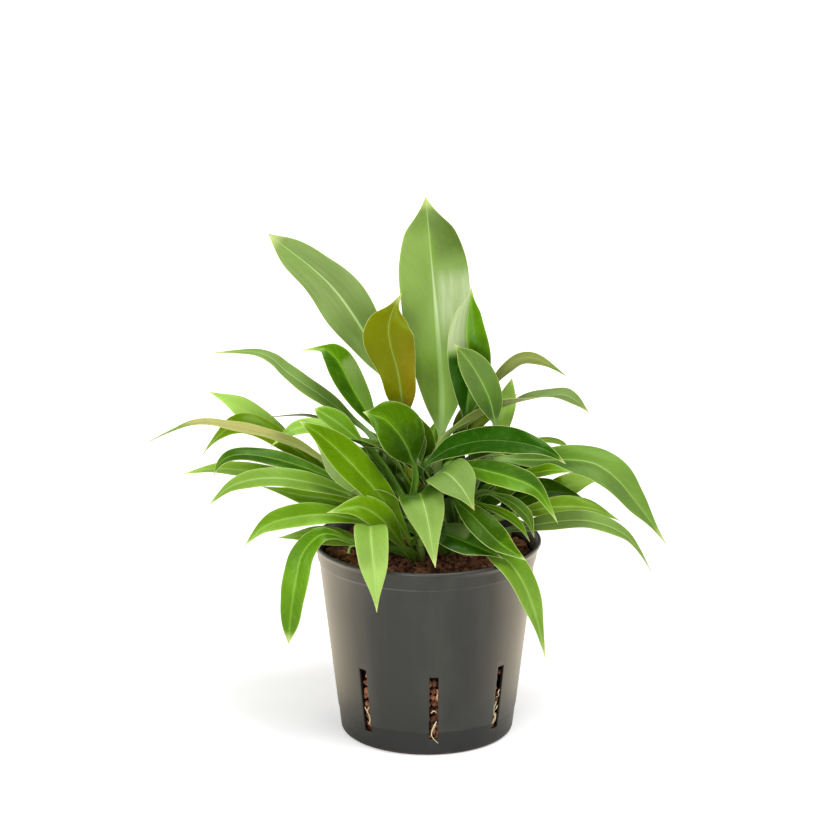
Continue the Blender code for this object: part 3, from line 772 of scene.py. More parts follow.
def leaf_sheet(label, outline, leaf, chance):
    """The upper face of a leaf: a grid bent to an outline of margins, rib and tip."""
    left, right, top, ups, tip = outline
    rings = len(left)
    for side, end in zip((left, right, top, ups), (tip, tip, tip, ups[-1])):
        side.append(end)
    rows = STALK_ROWS + BLADE_ROWS
    deselect_all()
    bpy.ops.mesh.primitive_grid_add(
        x_subdivisions=len(COLUMNS) - 1, y_subdivisions=rows, size=1.0, calc_uvs=True)
    sheet = made("blade_" + label)
    wave_phases = {-1: chance.uniform(0, tau), 1: chance.uniform(0, tau)}
    wave_sizes = {-1: chance.uniform(0.5, 1.2), 1: chance.uniform(0.5, 1.2)}
    wave_length = leaf.wave_length * chance.uniform(0.75, 1.3)
    curl = chance.uniform(-0.3, 0.3) * 0.25
    widest = max((right[index] - left[index]).length for index in range(rings)) / 2
    bulge = leaf.camber * chance.uniform(0.6, 1.5) * 4
    point, point_start = tip_shape(label, chance)
    middle, reach, swell = SWELLS.get(label, (0.5, 0.5, 0.0))
    wave_share = min(widest / WAVY_WIDTH, 1.4)
    spots, spans, weights = [], [], []
    length = 0.0
    before = None
    for row in range(rows + 1):
        share, place = row_place(row, rings)
        rib, edge_left, edge_right, up = [along_curve(points, place) for points in (top, left, right, ups)]
        up.normalize()
        if before is not None:
            length += (rib - before).length
        before = rib
        across = (edge_right - edge_left) / 2
        half = across.length
        across = across.normalized() if half > 1e-9 else Vector((1, 0, 0))
        draw_in = 1.0 - point * ramp(point_start, 0.95, share)
        half = max((half + widest * swell * bell(share, middle, reach)) * draw_in, NARROWEST_HALF)
        hook = HOOKS.get(label, Vector()) * ramp(TIP_START, 1.0, share) ** 2
        gutter = 1.0 - ramp(2.6, PETIOLE_RINGS + 1.4, place)
        fade = ramp(0.05, 0.3, share) * (1.0 - ramp(TIP_START, 1.0, share))
        channel = ((edge_left + edge_right) / 2 - rib).dot(up) * draw_in
        for column, c in enumerate(COLUMNS):
            side = 1 if c >= 0 else -1
            wide = abs(c)
            wave = sin(tau * length / wave_length + wave_phases[side]) * wave_sizes[side]
            lift = channel * wide ** 1.3
            lift += bulge * half * wide * (1 - wide) * fade
            lift += leaf.wave * wave * wide ** 2.2 * fade * (half / widest) * wave_share
            lift += curl * half * wide * wide * fade
            blade_spot = rib + across * (half * c) + up * lift + hook
            turn = c * STALK_WRAP
            stalk_spot = rib + across * (STALK_HALF_WIDTH * sin(turn)) - up * (STALK_DEPTH * cos(turn))
            sheet.data.vertices[row * len(COLUMNS) + column].co = blade_spot.lerp(stalk_spot, gutter)
            spots.append((share, c))
            spans.append((c * half * CENTIMETRES, length * CENTIMETRES))
            weights.append(thickness_at(wide, share, gutter))
    write_uvs(sheet.data, spans, rows)
    thick = sheet.vertex_groups.new(name="thickness")
    for index, weight in enumerate(weights):
        thick.add([index], weight, "REPLACE")
    return sheet, spots, RIB_SHARE * widest * CENTIMETRES


def write_uvs(mesh, spans, rows):
    """Two UV maps: leaf, across and along from 0 to 1, and span, the same in centimetres."""
    leaf_map = mesh.uv_layers[0]
    leaf_map.name = "leaf"
    span_map = mesh.uv_layers.new(name="span")
    for loop in mesh.loops:
        row, column = divmod(loop.vertex_index, len(COLUMNS))
        leaf_map.data[loop.index].uv = ((COLUMNS[column] + 1) / 2, row / rows)
        span_map.data[loop.index].uv = spans[loop.vertex_index]


def patches_at(label, look, share, c):
    """How much a leaf's patches add to one look at one spot of its blade."""
    total = 0.0
    for side, start, end, amounts in LEAF_PATCHES_WITH_PAINTED_LIGHT.get(label, []):
        if look in amounts:
            reach = ramp(start - PATCH_FADE, start, share) * (1.0 - ramp(end, end + PATCH_FADE, share))
            if side:
                reach *= ramp(-0.1, 0.2, c * side)
            total += amounts[look] * reach
    return total


def leaf_pattern():
    """Shared group: from a leaf's colours, the colour, gloss and relief of its two faces."""
    group = bpy.data.node_groups.new("leaf_pattern", "ShaderNodeTree")
    wires = Wires(group)
    for name in LEAF_COLOURS:
        group.interface.new_socket(name, in_out="INPUT", socket_type="NodeSocketColor")
    given = wires.add("NodeGroupInput")
    deep, middle, bright, dusty, tan_colour, dry, bronze_colour, rust_colour, margin, midrib = [
        Output(wires, given.outputs[name]) for name in LEAF_COLOURS]
    across, along = wires.uv("leaf", "X"), wires.uv("leaf", "Y")
    span_across, span_along = wires.uv("span", "X"), wires.uv("span", "Y")
    light, bronze, tan, bloom, rib_size = [wires.attribute("leaf_" + look) for look in LOOKS]
    place = wires.place()
    distance = abs(span_across)
    half = distance / wires.math("MAXIMUM", abs(across * 2.0 - 1.0), 0.02)
    from_margin = half - distance
    margin_mask = 1.0 - wires.step(from_margin, 0.01, 0.045)
    margin_glow = 1.0 - wires.step(from_margin, 0.0, 0.25)
    rib_half = rib_size * (1.25 - along * 1.1)
    rib_mask = 1.0 - wires.step(distance, rib_half * 0.3, rib_half)
    # paler band along the midrib: partly the leaf's own colour, partly a painted highlight along the fold
    rib_pale_and_highlight = 1.0 - wires.step(distance, 0.0, rib_size * 3.0)
    strand = wires.noise(wires.point(across * 14.0, span_along * 0.22), 1.0, 3.0, 0.6)
    # bloom, which where high is a painted whitish sheen, a painted highlight; stronger towards the tip and
    # in strands
    bloom_and_sheen = wires.math("MAXIMUM", bloom, 0.0) * (wires.step(along, 0.42, 0.62) * 0.5 + 0.5)
    bloom_and_sheen = bloom_and_sheen * (strand * 0.6 + 0.7)
    slant = span_along - distance * 1.7 + wires.noise(place, 60.0, 2.0) * 0.5
    vein = wires.noise(wires.point(slant * 4.0, span_across * 0.8), 1.6, 3.0, 0.6)
    broad = wires.noise(place, 22.0, 2.0)
    fine = wires.noise(place, 260.0, 3.0)
    # tone: broad random patches, darker towards the stalk, which is partly painted shade, lighter along the
    # midrib, partly a painted highlight, and lighter near the margins
    tone = light + (broad - 0.5) * 0.75 + (along - 0.6) * 0.18 + rib_pale_and_highlight * 0.18 + margin_glow * 0.10
    tone = wires.math("ADD", tone, (vein - 0.5) * 0.3, clamp=True)
    rust = wires.step(bronze, 0.5, 1.0) * wires.step(across, 0.35, 0.9)
    rust = rust * (1.0 - wires.step(along, 0.3, 0.85)) * 0.3
    # painted highlight: where bloom runs past 1 its dusty colour turns whitish
    sheen_and_bloom_colour = wires.mix(wires.step(bloom_and_sheen, 1.0, 2.2), dusty, THICK_BLOOM_AND_PAINTED_SHEEN)
    green = wires.layers(
        deep,
        (wires.step(tone, -0.1, 0.6), middle),
        (wires.step(tone, 0.4, 1.1), bright),
        (bronze * 0.92, bronze_colour),
        (rust, rust_colour),
        (bloom_and_sheen * 0.62, sheen_and_bloom_colour),
        (wires.step(fine, 0.5, 0.75) * 0.05, bright))
    rib_strength = wires.math("ADD", bloom_and_sheen * 0.5 + 0.20, light * 0.25, clamp=True)
    rib_colour = wires.mix(bloom_and_sheen * 0.6, midrib, BLOOM_AND_SHEEN_RIB)
    stalk = wires.mix(bloom_and_sheen * 1.4 + 0.12, green, rib_colour)
    upper = wires.layers(
        green,
        (rib_mask * rib_strength, rib_colour),
        (margin_mask * 0.7, margin),
        (wires.step(along, 0.93, 0.985) * 0.7, wires.mix(tan, margin, dry)))
    under = wires.layers(
        green,
        (0.35, PALE_UNDER),
        (tan * 0.8 * (1.0 - wires.step(along, 0.80, 0.90)), tan_colour),
        (rib_mask * 0.8, midrib),
        (margin_mask * 0.5, margin))
    blade = wires.step(along, 0.17, 0.30)
    coat = wires.math("MAXIMUM", bloom * -0.5, 0.0) + 0.05
    results = {
        "upper_colour": wires.mix(blade, stalk, upper),
        "under_colour": wires.mix(blade, stalk, under),
        "upper_roughness": bloom_and_sheen * 0.16 + 0.27 + vein * 0.10,
        "under_roughness": vein * 0.1 + 0.48,
        "upper_coat": coat,
        "under_coat": coat * 0.2,
        "relief": vein * 0.9 + fine * 0.12 - rib_mask * 0.5,
    }
    for name in results:
        kind = "NodeSocketColor" if name.endswith("colour") else "NodeSocketFloat"
        group.interface.new_socket(name, in_out="OUTPUT", socket_type=kind)
    wires.add("NodeGroupOutput", results)
    return group


def leaf_material(leaf, group, face):
    """The finish of a leaf's upper or under face."""
    wires = new_material("leaf_%s_face" % face)[1]
    colours = {name: getattr(leaf, name) for name in LEAF_COLOURS}
    pattern = wires.add("ShaderNodeGroup", colours, node_tree=group)
    colour, roughness, coat, relief = [
        Output(wires, pattern.outputs[name])
        for name in (face + "_colour", face + "_roughness", face + "_coat", "relief")]
    wires.shade({
        "Base Color": colour,
        "Roughness": roughness,
        "Specular IOR Level": 0.26,
        "Specular Tint": LEAF_TINT,
        "Subsurface Weight": 0.08,
        "Subsurface Radius": (0.3, 0.6, 0.1),
        "Subsurface Scale": 0.002,
        "Coat Weight": coat,
        "Coat Roughness": 0.2,
    })
    wires.bump(relief, 0.3, 0.0005)


def leaf_finishes(leaf):
    """The two leaf materials, made once."""
    if "leaf_upper_face" not in bpy.data.materials:
        group = leaf_pattern()
        leaf_material(leaf, group, "upper")
        leaf_material(leaf, group, "under")
    return [bpy.data.materials["leaf_%s_face" % face] for face in ("upper", "under")]


def finished_blade(label, outline, leaf, chance, looks):
    """One whole leaf with its thickness, its finishes and its stored looks."""
    sheet, spots, rib = leaf_sheet(label, outline, leaf, chance)
    for look, value in zip(LOOKS, (*looks, rib)):
        values = [value + patches_at(label, look, share, c) for share, c in spots]
        store(sheet.data, "leaf_" + look, values)
    for finish in leaf_finishes(leaf):
        sheet.data.materials.append(finish)
    shell = sheet.modifiers.new("body", "SOLIDIFY")
    shell.thickness = leaf.thickness
    shell.offset = -1.0
    shell.vertex_group = "thickness"
    shell.material_offset = 1
    shell.use_even_offset = False
    apply_modifiers(sheet)
    smooth(sheet)
    return sheet


class PLANT_OT_leaves(bpy.types.Operator):
    """Model every leaf from its stalk to its tip"""
    bl_idname = "plant.leaves"
    bl_label = "Leaves"

    def execute(self, context):
        for number, node in enumerate(nodes_named("leaf_")):
            label = node.removeprefix("leaf_")
            chance = random.Random(LEAF_SEED + number)
            looks = LEAF_LOOKS.get(label, BACK_LEAF_LOOK)
            blade = finished_blade(label, leaf_frame(node), context.scene.plant_leaf, chance, looks)
            stand_for(blade, "leaf_olive" if label == "new_olive" else "leaf_green", node)
        return {"FINISHED"}


INNER_RINGS = 9
INNER_SEED = 11
INNER_OUT = 0.002           # how far out from its stem a short leaf begins
INNER_STALK_HALF = 0.0016   # half width of a short leaf's stalk
GOLDEN_SHARE = (5 ** 0.5 - 1) / 2
# Short leaves on the right: foot in metres; heading, lean and roll in degrees; bronze
SIDE_LEAVES = (
    ((0.016, 0.004, 0.126), 4, 66, -60, 0.1), ((0.024, 0.008, 0.128), 0, 80, -50, 0.1),
    ((0.012, 0.010, 0.134), 10, 60, -60, 0.1), ((0.030, 0.004, 0.120), -4, 96, -45, 0.1),
    ((0.016, 0.000, 0.122), 2, 74, -65, 0.1), ((0.007, 0.021, 0.165), 2, 66, -68, 0.5))


def inner_frame(inner, head, heading, chance, lean=None, roll=0.0):
    """Margins, rib and tip of a short leaf inside the bush, from its foot upwards."""
    outward = Vector((cos(heading), sin(heading), 0.0))
    rings = PETIOLE_RINGS + INNER_RINGS
    length = inner.length * chance.uniform(0.7, 1.1)
    half_width = inner.width / 2 * chance.uniform(0.8, 1.15)
    if lean is None:
        flatter = (inner.most_lean - inner.least_lean) * 0.6 * ramp(0.6, -0.2, sin(heading))
        lean = chance.uniform(inner.least_lean + flatter, inner.most_lean)
    place = head + outward * INNER_OUT
    left, right, top, ups = [], [], [], []
    for ring in range(rings):
        bend = lean * (0.25 + (ring / rings) ** 1.2)
        tangent = outward * sin(bend) + Vector((0.0, 0.0, cos(bend)))
        up = Vector((0.0, 0.0, sin(bend))) - outward * cos(bend)
        across = tangent.cross(up)
        across, up = across * cos(roll) + up * sin(roll), up * cos(roll) - across * sin(roll)
        blade = max(ring - PETIOLE_RINGS, 0) / INNER_RINGS
        half = INNER_STALK_HALF + half_width * sin(pi * blade ** 0.8)
        left.append(place - across * half + up * half * 0.25)
        right.append(place + across * half + up * half * 0.25)
        top.append(place.copy())
        ups.append(up)
        place = place + tangent * (length / rings)
    return left, right, top, ups, place


class PLANT_OT_inner_leaves(bpy.types.Operator):
    """Fill the heart of the bush with short leaves"""
    bl_idname = "plant.inner_leaves"
    bl_label = "Inner leaves"

    def execute(self, context):
        leaf = context.scene.plant_leaf
        inner = context.scene.plant_inner
        chance = random.Random(INNER_SEED)
        stems = nodes_named("stem_")
        blades = []
        for number in range(inner.count):
            low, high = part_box(stems[number % len(stems)])
            head = (low + high) / 2
            head.z = FILL_HIGH.z + (high.z - FILL_HIGH.z) * chance.uniform(0.0, 0.7)
            heading = inner.front_gap / 2 - pi / 2 + (tau - inner.front_gap) * (number * GOLDEN_SHARE % 1.0)
            outline = inner_frame(inner, head, heading, chance)
            looks = (chance.uniform(-0.1, 0.35), chance.uniform(0.0, 0.2), 0.0, 0.0)
            blades.append(finished_blade("inner", outline, leaf, chance, looks))
        for head, heading, lean, roll, bronze in SIDE_LEAVES:
            turns = [radians(angle) for angle in (heading, lean, roll)]
            outline = inner_frame(inner, Vector(head), turns[0], chance, *turns[1:])
            blades.append(finished_blade("side", outline, leaf, chance, (0.0, bronze, 0.0, 0.0)))
        stand_for(join_as("inner_leaves", blades), "leaf_green")
        return {"FINISHED"}


# ---- the stems ----

SHOOT_RADIUS = 0.0010
DARK_STEM = (0.08, 0.19, 0.012)
LIGHT_STEM = (0.20, 0.34, 0.05)
LEAF_SCAR = (0.10, 0.07, 0.02)
STEM_FOOT = (0.10, 0.06, 0.02)
# A small curled shoot low on the left, metres
SHOOT_CURL = (
    (-0.049, -0.044, 0.131), (-0.048, -0.044, 0.135), (-0.046, -0.044, 0.136), (-0.042, -0.044, 0.134))


def stem_material():
    """Pale green stem with darker leaf-scar rings."""
    material, wires = new_material("stem_skin")
    place = wires.place()
    height = wires.axis(place, "Z")
    fibres = wires.noise(place, 300.0, 3.0, 0.6, (1.0, 1.0, 0.08))
    rings = wires.math("SINE", height * 900.0)
    low = 1.0 - wires.step(height, FILL_HIGH.z, FILL_HIGH.z + 0.02)
    colour = wires.layers(
        wires.mix(fibres, DARK_STEM, LIGHT_STEM),
        (wires.step(rings, 0.8, 1.0) * 0.6, LEAF_SCAR),
        (low * 0.4, STEM_FOOT))
    wires.shade({"Base Color": colour, "Roughness": 0.45})
    wires.bump(fibres, 0.4, 0.0003)
    return material


def thread(name, points, radius):
    """A thin closed tube through a few points, thinner towards its end."""
    deselect_all()
    bpy.ops.curve.primitive_bezier_curve_add(location=(0.0, 0.0, 0.0))
    curve = bpy.context.object
    curve.name = name
    spline = curve.data.splines[0]
    spline.bezier_points.add(len(points) - 2)
    for index, (knot, point) in enumerate(zip(spline.bezier_points, points)):
        knot.co = point
        knot.handle_left_type = knot.handle_right_type = "AUTO"
        knot.radius = 1.0 - 0.5 * index / (len(points) - 1)
    curve.data.dimensions = "3D"
    curve.data.bevel_depth = radius
    curve.data.bevel_resolution = 2
    curve.data.resolution_u = 5
    curve.data.use_fill_caps = True
    pick(curve)
    bpy.ops.object.convert(target="MESH")
    tube = bpy.context.object
    tube.data.name = name
    edit_all(tube)
    bpy.ops.mesh.remove_doubles(threshold=1e-6)
    bpy.ops.mesh.normals_make_consistent(inside=False)
    smooth(tube)
    return tube


class PLANT_OT_stems(bpy.types.Operator):
    """Round off the short stems and add the curled shoot"""
    bl_idname = "plant.stems"
    bl_label = "Stems"

    def execute(self, context):
        skin = stem_material()
        rounded_copies("stem_", "shoot_", "stem_green", skin, square=True)
        stand_for(thread("curled_shoot", SHOOT_CURL, SHOOT_RADIUS), "stem_green", material=skin)
        return {"FINISHED"}


# ---- the clay granules ----

BED_DEPTH = 0.011       # how far the bed's top lies under the lip
LAYER_DROP = 0.0042     # how far the second layer lies under the first
JITTER = 0.0007         # how far a granule strays from its row
HEART_GAP = 0.0062      # how far the dark middle stays behind the granules
HEART_HEIGHT = 0.955    # the dark middle's height as a share of the filling's
PITCH = 1.85            # from one granule to the next in a layer, in mean radii
ROW_PITCH = 0.87        # from one row of granules to the next, in pitches
HEAP_LUMPS = 0.0022     # how far the bed swells and sinks
HEAP_BACK = 0.004       # how far the bed rises towards the back
SLOT_ROWS = 9
LEFT_OUT = 0.10         # share of the granules that a slot lacks
SLOT_JITTER = 0.0009
GRANULE_SEED = 21
CLAY_CRUMB = (0.50, 0.30, 0.19)
CLAY_PIT = (0.04, 0.016, 0.01)
# Near-black colours of the filling's middle: painted shade in the gaps between granules
DEEP_PAINTED_SHADE = (0.012, 0.006, 0.004)
PALE_PAINTED_SHADE = (0.05, 0.022, 0.013)


def granule_shapes(chance):
    """Three lumpy granules of few faces, as point and face lists."""
    shapes = []
    for number in range(3):
        deselect_all()
        bpy.ops.mesh.primitive_ico_sphere_add(subdivisions=2, radius=1.0)
        pebble = bpy.context.object
        offset = Vector((chance.uniform(0, 50), 0, 0))
        for vertex in pebble.data.vertices:
            vertex.co *= 1.0 + 0.6 * noise.noise(vertex.co * 1.1 + offset)
        points = np.array([vertex.co[:] for vertex in pebble.data.vertices])
        faces = np.array([polygon.vertices[:] for polygon in pebble.data.polygons])
        shapes.append((points, faces))
        bpy.data.objects.remove(pebble)
    return shapes


def bed_places(pot, granule, chance):
    """Middle and radius of each granule in the two layers on top, heaped a little at the back."""
    places = []
    pitch = granule.size * PITCH
    fill_radius = pot.shoulder_radius - pot.wall - granule.size
    steps = int(fill_radius / pitch) + 1
    for layer in range(2):
        for row in range(-steps, steps + 1):
            for column in range(-steps, steps + 1):
                x = (column + 0.5 * (row % 2) + 0.37 * layer) * pitch + chance.uniform(-1, 1) * JITTER
                y = row * pitch * ROW_PITCH + 0.4 * layer * pitch + chance.uniform(-1, 1) * JITTER
                if (x * x + y * y) ** 0.5 > fill_radius:
                    continue
                heap = HEAP_LUMPS * noise.noise(Vector((x, y, 0.0)) * 60)
                heap += HEAP_BACK * ramp(-0.02, 0.05, y)
                z = POT_HIGH.z - BED_DEPTH - granule.size * 0.75 - layer * LAYER_DROP + heap
                z += chance.uniform(-1, 1) * JITTER
                places.append((Vector((x, y, z)), granule.size * chance.uniform(0.72, 1.22)))
    return places


def slot_places(pot, granule, chance):
    """Middle and radius of each granule that shows in a slot, with some left out."""
    places = []
    for index in range(pot.slot_count):
        for row in range(SLOT_ROWS):
            for column in (-1, 0, 1):
                if chance.random() < LEFT_OUT:
                    continue
                height = (
                    pot.slot_low - 0.002
                    + (pot.slot_high - pot.slot_low - 0.004) * row / (SLOT_ROWS - 1))
                size = granule.size * chance.uniform(0.7, 1.1)
                depth = size * 1.08 + chance.uniform(0.0001, 0.0018)
                shift = column * granule.size * 1.25 + chance.uniform(-1, 1) * SLOT_JITTER
                spot = slot_spot(pot, index, shift, height, -pot.wall - depth)
                spot.z = height + chance.uniform(-1, 1) * JITTER
                places.append((spot, size))
    return places


def clay_material(granule):
    """Porous fired clay, each granule with its own shade."""
    material, wires = new_material("fired_clay")
    place = wires.place()
    crumbs = wires.noise(place, 700.0, 5.0, 0.7)
    pits = wires.noise(place, 1800.0, 3.0, 0.6)
    dry = wires.step(wires.noise(place, 34.0, 2.0), 0.40, 0.62)
    colour = wires.layers(
        granule.dark,
        (wires.attribute("clay_shade") * (dry * 0.95 + 0.2), granule.light),
        (wires.step(crumbs, 0.5, 0.75) * 0.45, CLAY_CRUMB),
        (wires.step(pits, 0.55, 0.7) * 0.5, CLAY_PIT))
    wires.shade({"Base Color": colour, "Roughness": 0.93, "Specular IOR Level": 0.25})
    wires.bump(crumbs + pits * 0.4, 0.8, 0.0009)
    return material


def filling_heart(pot):
    """The dark middle of the filling, between and under the granules, coloured as painted shade in the
    gaps.
    """
    core = merged_copy("clay_granules", "filling_heart")
    inset = 1.0 - HEART_GAP / pot.foot_radius
    edit_all(core)
    bpy.ops.transform.resize(value=(inset, inset, 1.0), center_override=(0.0, 0.0, 0.0))
    bpy.ops.transform.resize(value=(1.0, 1.0, HEART_HEIGHT), center_override=(0.0, 0.0, FILL_LOW.z))
    bpy.ops.object.mode_set(mode="OBJECT")
    material, wires = new_material("filling_shade")
    crumbs = wires.noise(wires.place(), 300.0, 4.0)
    # painted shade: the gaps between granules are coloured near black
    colour = wires.mix(crumbs, DEEP_PAINTED_SHADE, PALE_PAINTED_SHADE)
    wires.shade({"Base Color": colour, "Roughness": 1.0})
    stand_for(core, "fired_clay", material=material)


class PLANT_OT_granules(bpy.types.Operator):
    """Fill the pot with clay granules"""
    bl_idname = "plant.granules"
    bl_label = "Clay granules"

    def execute(self, context):
        pot = context.scene.plant_pot
        granule = context.scene.plant_granule
        chance = random.Random(GRANULE_SEED)
        shapes = granule_shapes(chance)
        points, faces, shades = [], [], []
        count = 0
        places = bed_places(pot, granule, chance) + slot_places(pot, granule, chance)
        for middle, radius in places:
            shape_points, shape_faces = chance.choice(shapes)
            turn = np.array(Euler([chance.uniform(0, tau) for axis in range(3)]).to_matrix())
            flat = np.array([1.0, chance.uniform(0.8, 1.0), chance.uniform(0.7, 0.95)])
            points.append((shape_points * flat) @ turn.T * radius + np.array(middle))
            faces.append(shape_faces + count)
            shades += [chance.random() ** 0.8] * len(shape_points)
            count += len(shape_points)
        mesh = bpy.data.meshes.new("granule_bed")
        mesh.from_pydata(np.concatenate(points).tolist(), [], np.concatenate(faces).tolist())
        store(mesh, "clay_shade", shades)
        bed = add_object("granule_bed", mesh)
        smooth(bed)
        stand_for(bed, "fired_clay", "clay_granules", material=clay_material(granule))
        filling_heart(pot)
        return {"FINISHED"}


# ---- the roots ----

THREAD_RADIUS = 0.00042
DARK_ROOT = (0.52, 0.40, 0.18)
LIGHT_ROOT = (0.80, 0.72, 0.48)
# Strokes of root in the front slots: sideways from the slot's middle, height and distance out from
# the body's face, all in millimetres
ROOT_STROKES = {
    0: (
        ((2.0, 24, -1.2), (-0.2, 20, -0.8), (-1.2, 15, -0.4), (0.4, 12, 0.4), (3.0, 9.5, 0.9)),
        ((2.4, 43, -1.3), (2.0, 41, -0.8), (2.5, 39, -1.2)),
        ((-1.5, 30, -1.4), (0.2, 31.5, -0.9), (1.8, 30, -1.3)),
    ),
    1: (
        ((2.2, 38, -1.2), (0.6, 36.5, -0.7), (1.8, 34, -1.0), (0.0, 33, -1.4)),
        ((1.9, 27, -1.1), (0.0, 25.5, -0.5), (-1.0, 24, -1.3)),
        ((-1.8, 15, -1.2), (0.2, 19.5, -0.5), (1.4, 18, -1.2)),
        ((0.8, 22, -1.2), (0.6, 18, -0.7), (-0.6, 15, -1.2)),
    ),
    7: (
        ((-2.0, 28, -1.2), (-0.4, 26.5, -0.6), (0.9, 22.5, -1.2)),
        ((1.6, 29, -1.2), (0.6, 26.5, -0.6), (-0.8, 24.5, -1.2)),
    ),
}


class PLANT_OT_roots(bpy.types.Operator):
    """Round off the roots that show in the slots"""
    bl_idname = "plant.roots"
    bl_label = "Roots"

    def execute(self, context):
        material, wires = new_material("root_skin")
        fuzz = wires.noise(wires.place(), 500.0, 3.0)
        colour = wires.mix(fuzz, DARK_ROOT, LIGHT_ROOT)
        wires.shade({"Base Color": colour, "Roughness": 0.6})
        wires.bump(fuzz, 0.3, 0.0003)
        rounded_copies("root_", "rootlet_", "root_cream", material)
        return {"FINISHED"}


class PLANT_OT_root_threads(bpy.types.Operator):
    """Hang fine root threads in the front slots"""
    bl_idname = "plant.root_threads"
    bl_label = "Root threads"

    def execute(self, context):
        pot = context.scene.plant_pot
        threads = []
        for index, strokes in ROOT_STROKES.items():
            for stroke in strokes:
                points = [
                    slot_spot(pot, index, shift / 1000, height / 1000, out / 1000)
                    for shift, height, out in stroke]
                threads.append(thread("thread", points, THREAD_RADIUS))
        skin = bpy.data.materials["root_skin"]
        stand_for(join_as("root_threads", threads), "root_cream", material=skin)
        return {"FINISHED"}


# ---- floor, light and camera ----

CAMERA_SHIFT = -0.0045  # how far the camera stands beside the pot's axis
WHITE = (1.0, 1.0, 1.0)
WARM = (1.0, 0.93, 0.84)
BLACK = (0.0, 0.0, 0.0)
DIM_FLOOR = (0.80, 0.80, 0.80)
PALE_FLOOR = (0.82, 0.82, 0.82)
CARD = (2.1, 1.75, 1.2)     # warm glow on the floor behind the pot, seen only in reflections
# Each light's place, the height on the pot's axis that it looks at, its size, power and colour
LIGHTS = {
    "top_light": ((0.7, -0.95, 3.0), 0.2, 1.6, 76.0, WHITE),
    "front_light": ((-0.9, -1.2, 0.8), 0.18, 0.6, 8.0, WHITE),
    "high_light": ((0.1, 0.55, 1.6), 0.15, 0.4, 3.0, WHITE),
    "low_light": ((-0.25, -1.3, 0.26), 0.2, 0.4, 5.5, WHITE),
    "left_light": ((-1.1, 1.0, 0.3), 0.1, 1.0, 8.0, WARM),
    "right_light": ((1.1, 1.0, 0.3), 0.1, 1.0, 8.0, WARM),
}


def area_light(name, place, aim, size, power, colour):
    """A square soft light that looks at a height on the pot's axis."""
    light = bpy.data.lights.new(name, "AREA")
    light.shape = "SQUARE"
    light.size = size
    light.energy = power
    light.color = colour
    lamp = add_object(name, light)
    lamp.location = place
    lamp.rotation_euler = (Vector((0, 0, aim)) - Vector(place)).to_track_quat("-Z", "Y").to_euler()


def white_surround(strength):
    """A world that looks white and lights the scene softly."""
    world = bpy.data.worlds.new("white_surround")
    world.use_nodes = True
    wires = Wires(world.node_tree)
    back = world.node_tree.nodes["Background"]
    seen = wires.output("ShaderNodeLightPath", "Is Camera Ray")
    wires.put(WHITE, back.inputs["Color"])
    wires.put(seen * (1.0 - strength) + strength, back.inputs["Strength"])
    return world


def studio_floor():
    """A wide pale floor that glows a little, so that it stays white far off."""
    deselect_all()
    bpy.ops.mesh.primitive_plane_add(size=16.0, location=(0.0, 0.0, 0.0))
    floor = made("studio_floor")
    material, wires = new_material("pale_floor")
    place = wires.place()
    pale = wires.mix(wires.noise(place, 3.0, 2.0), DIM_FLOOR, PALE_FLOOR)
    sideways = wires.step(abs(wires.axis(place, "X")), 0.05, 0.14)
    behind = wires.step(wires.axis(place, "Y"), -0.14, 0.02)
    card = sideways * behind * wires.output("ShaderNodeLightPath", "Is Glossy Ray")
    mirrored = wires.mix(card, BLACK, CARD)
    evened = wires.step(wires.reach(place), 0.15, 1.2) * 0.5 + 0.5
    seen = wires.output("ShaderNodeLightPath", "Is Camera Ray") * evened
    wires.shade({
        "Base Color": pale,
        "Roughness": 0.7,
        "Specular IOR Level": 0.1,
        "Emission Color": wires.mix(seen, mirrored, pale),
        "Emission Strength": 0.95,
    })
    floor.data.materials.append(material)


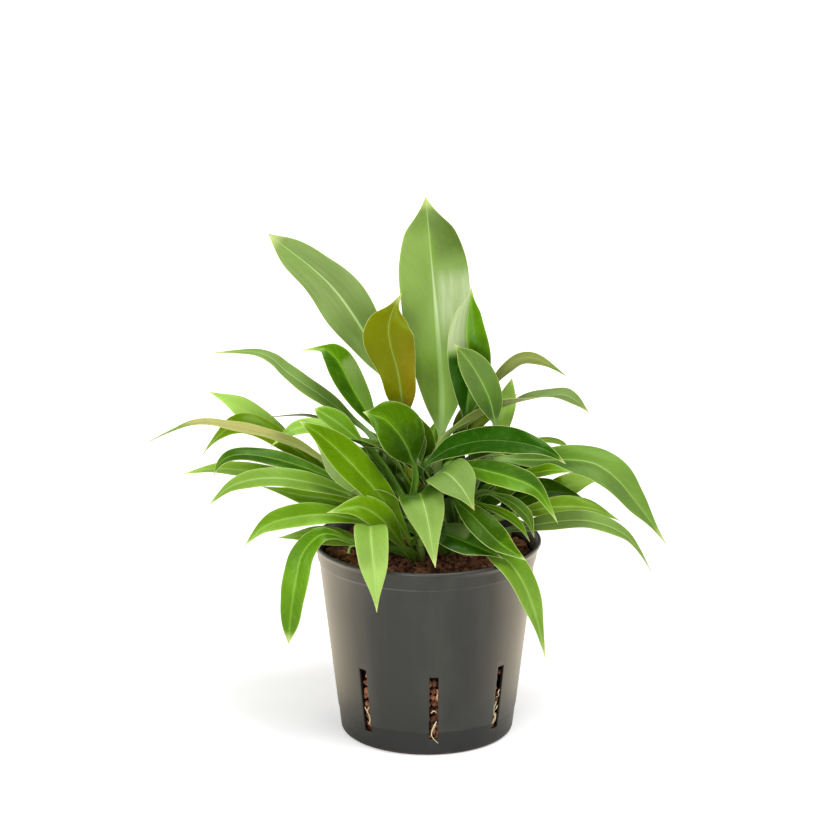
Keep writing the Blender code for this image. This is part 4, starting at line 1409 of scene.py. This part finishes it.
class PLANT_OT_stage(bpy.types.Operator):
    """Set the floor, the soft light and the camera"""
    bl_idname = "plant.stage"
    bl_label = "Stage"

    def execute(self, context):
        stage = context.scene.plant_stage
        studio_floor()
        context.scene.world = white_surround(stage.daylight)
        for name, settings in LIGHTS.items():
            area_light(name, *settings)
        context.scene.view_settings.view_transform = "Standard"
        lens = bpy.data.cameras.new("studio_camera")
        lens.lens = stage.lens
        lens.sensor_width = 36.0
        lens.clip_end = 50.0
        camera = add_object("studio_camera", lens)
        camera.location = (CAMERA_SHIFT, -stage.distance, stage.eye_height)
        camera.rotation_euler = (pi / 2 - stage.pitch, 0.0, 0.0)
        context.scene.camera = camera
        return {"FINISHED"}


# ---- sidebar and start ----

class PLANT_PT_sidebar(bpy.types.Panel):
    """Lists the plant's pieces and settings"""
    bl_label = "Potted philodendron"
    bl_idname = "PLANT_PT_sidebar"
    bl_space_type = "VIEW_3D"
    bl_region_type = "UI"
    bl_category = "Plant"

    def draw(self, context):
        for name in SETTINGS:
            settings = getattr(context.scene, name)
            box = self.layout.box()
            for label in settings.__annotations__:
                box.prop(settings, label)
        for operator in OPERATORS:
            self.layout.operator(operator.bl_idname)


SETTINGS = {
    "plant_pot": PotSettings,
    "plant_leaf": LeafSettings,
    "plant_inner": InnerSettings,
    "plant_granule": GranuleSettings,
    "plant_stage": StageSettings,
}
OPERATORS = (
    PLANT_OT_pot, PLANT_OT_granules, PLANT_OT_stems, PLANT_OT_leaves, PLANT_OT_inner_leaves,
    PLANT_OT_roots, PLANT_OT_root_threads, PLANT_OT_stage)


def register():
    """Add the settings, operators and panel."""
    for name, settings in SETTINGS.items():
        bpy.utils.register_class(settings)
        setattr(bpy.types.Scene, name, PointerProperty(type=settings))
    for operator in OPERATORS:
        bpy.utils.register_class(operator)
    bpy.utils.register_class(PLANT_PT_sidebar)


def unregister():
    """Take the settings, operators and panel away."""
    bpy.utils.unregister_class(PLANT_PT_sidebar)
    for operator in reversed(OPERATORS):
        bpy.utils.unregister_class(operator)
    for name, settings in SETTINGS.items():
        delattr(bpy.types.Scene, name)
        bpy.utils.unregister_class(settings)


def main():
    """Model every piece."""
    register()
    bpy.ops.plant.pot()
    bpy.ops.plant.granules()
    bpy.ops.plant.stems()
    bpy.ops.plant.leaves()
    bpy.ops.plant.inner_leaves()
    bpy.ops.plant.roots()
    bpy.ops.plant.root_threads()
    bpy.ops.plant.stage()


if __name__ == "__main__":
    main()
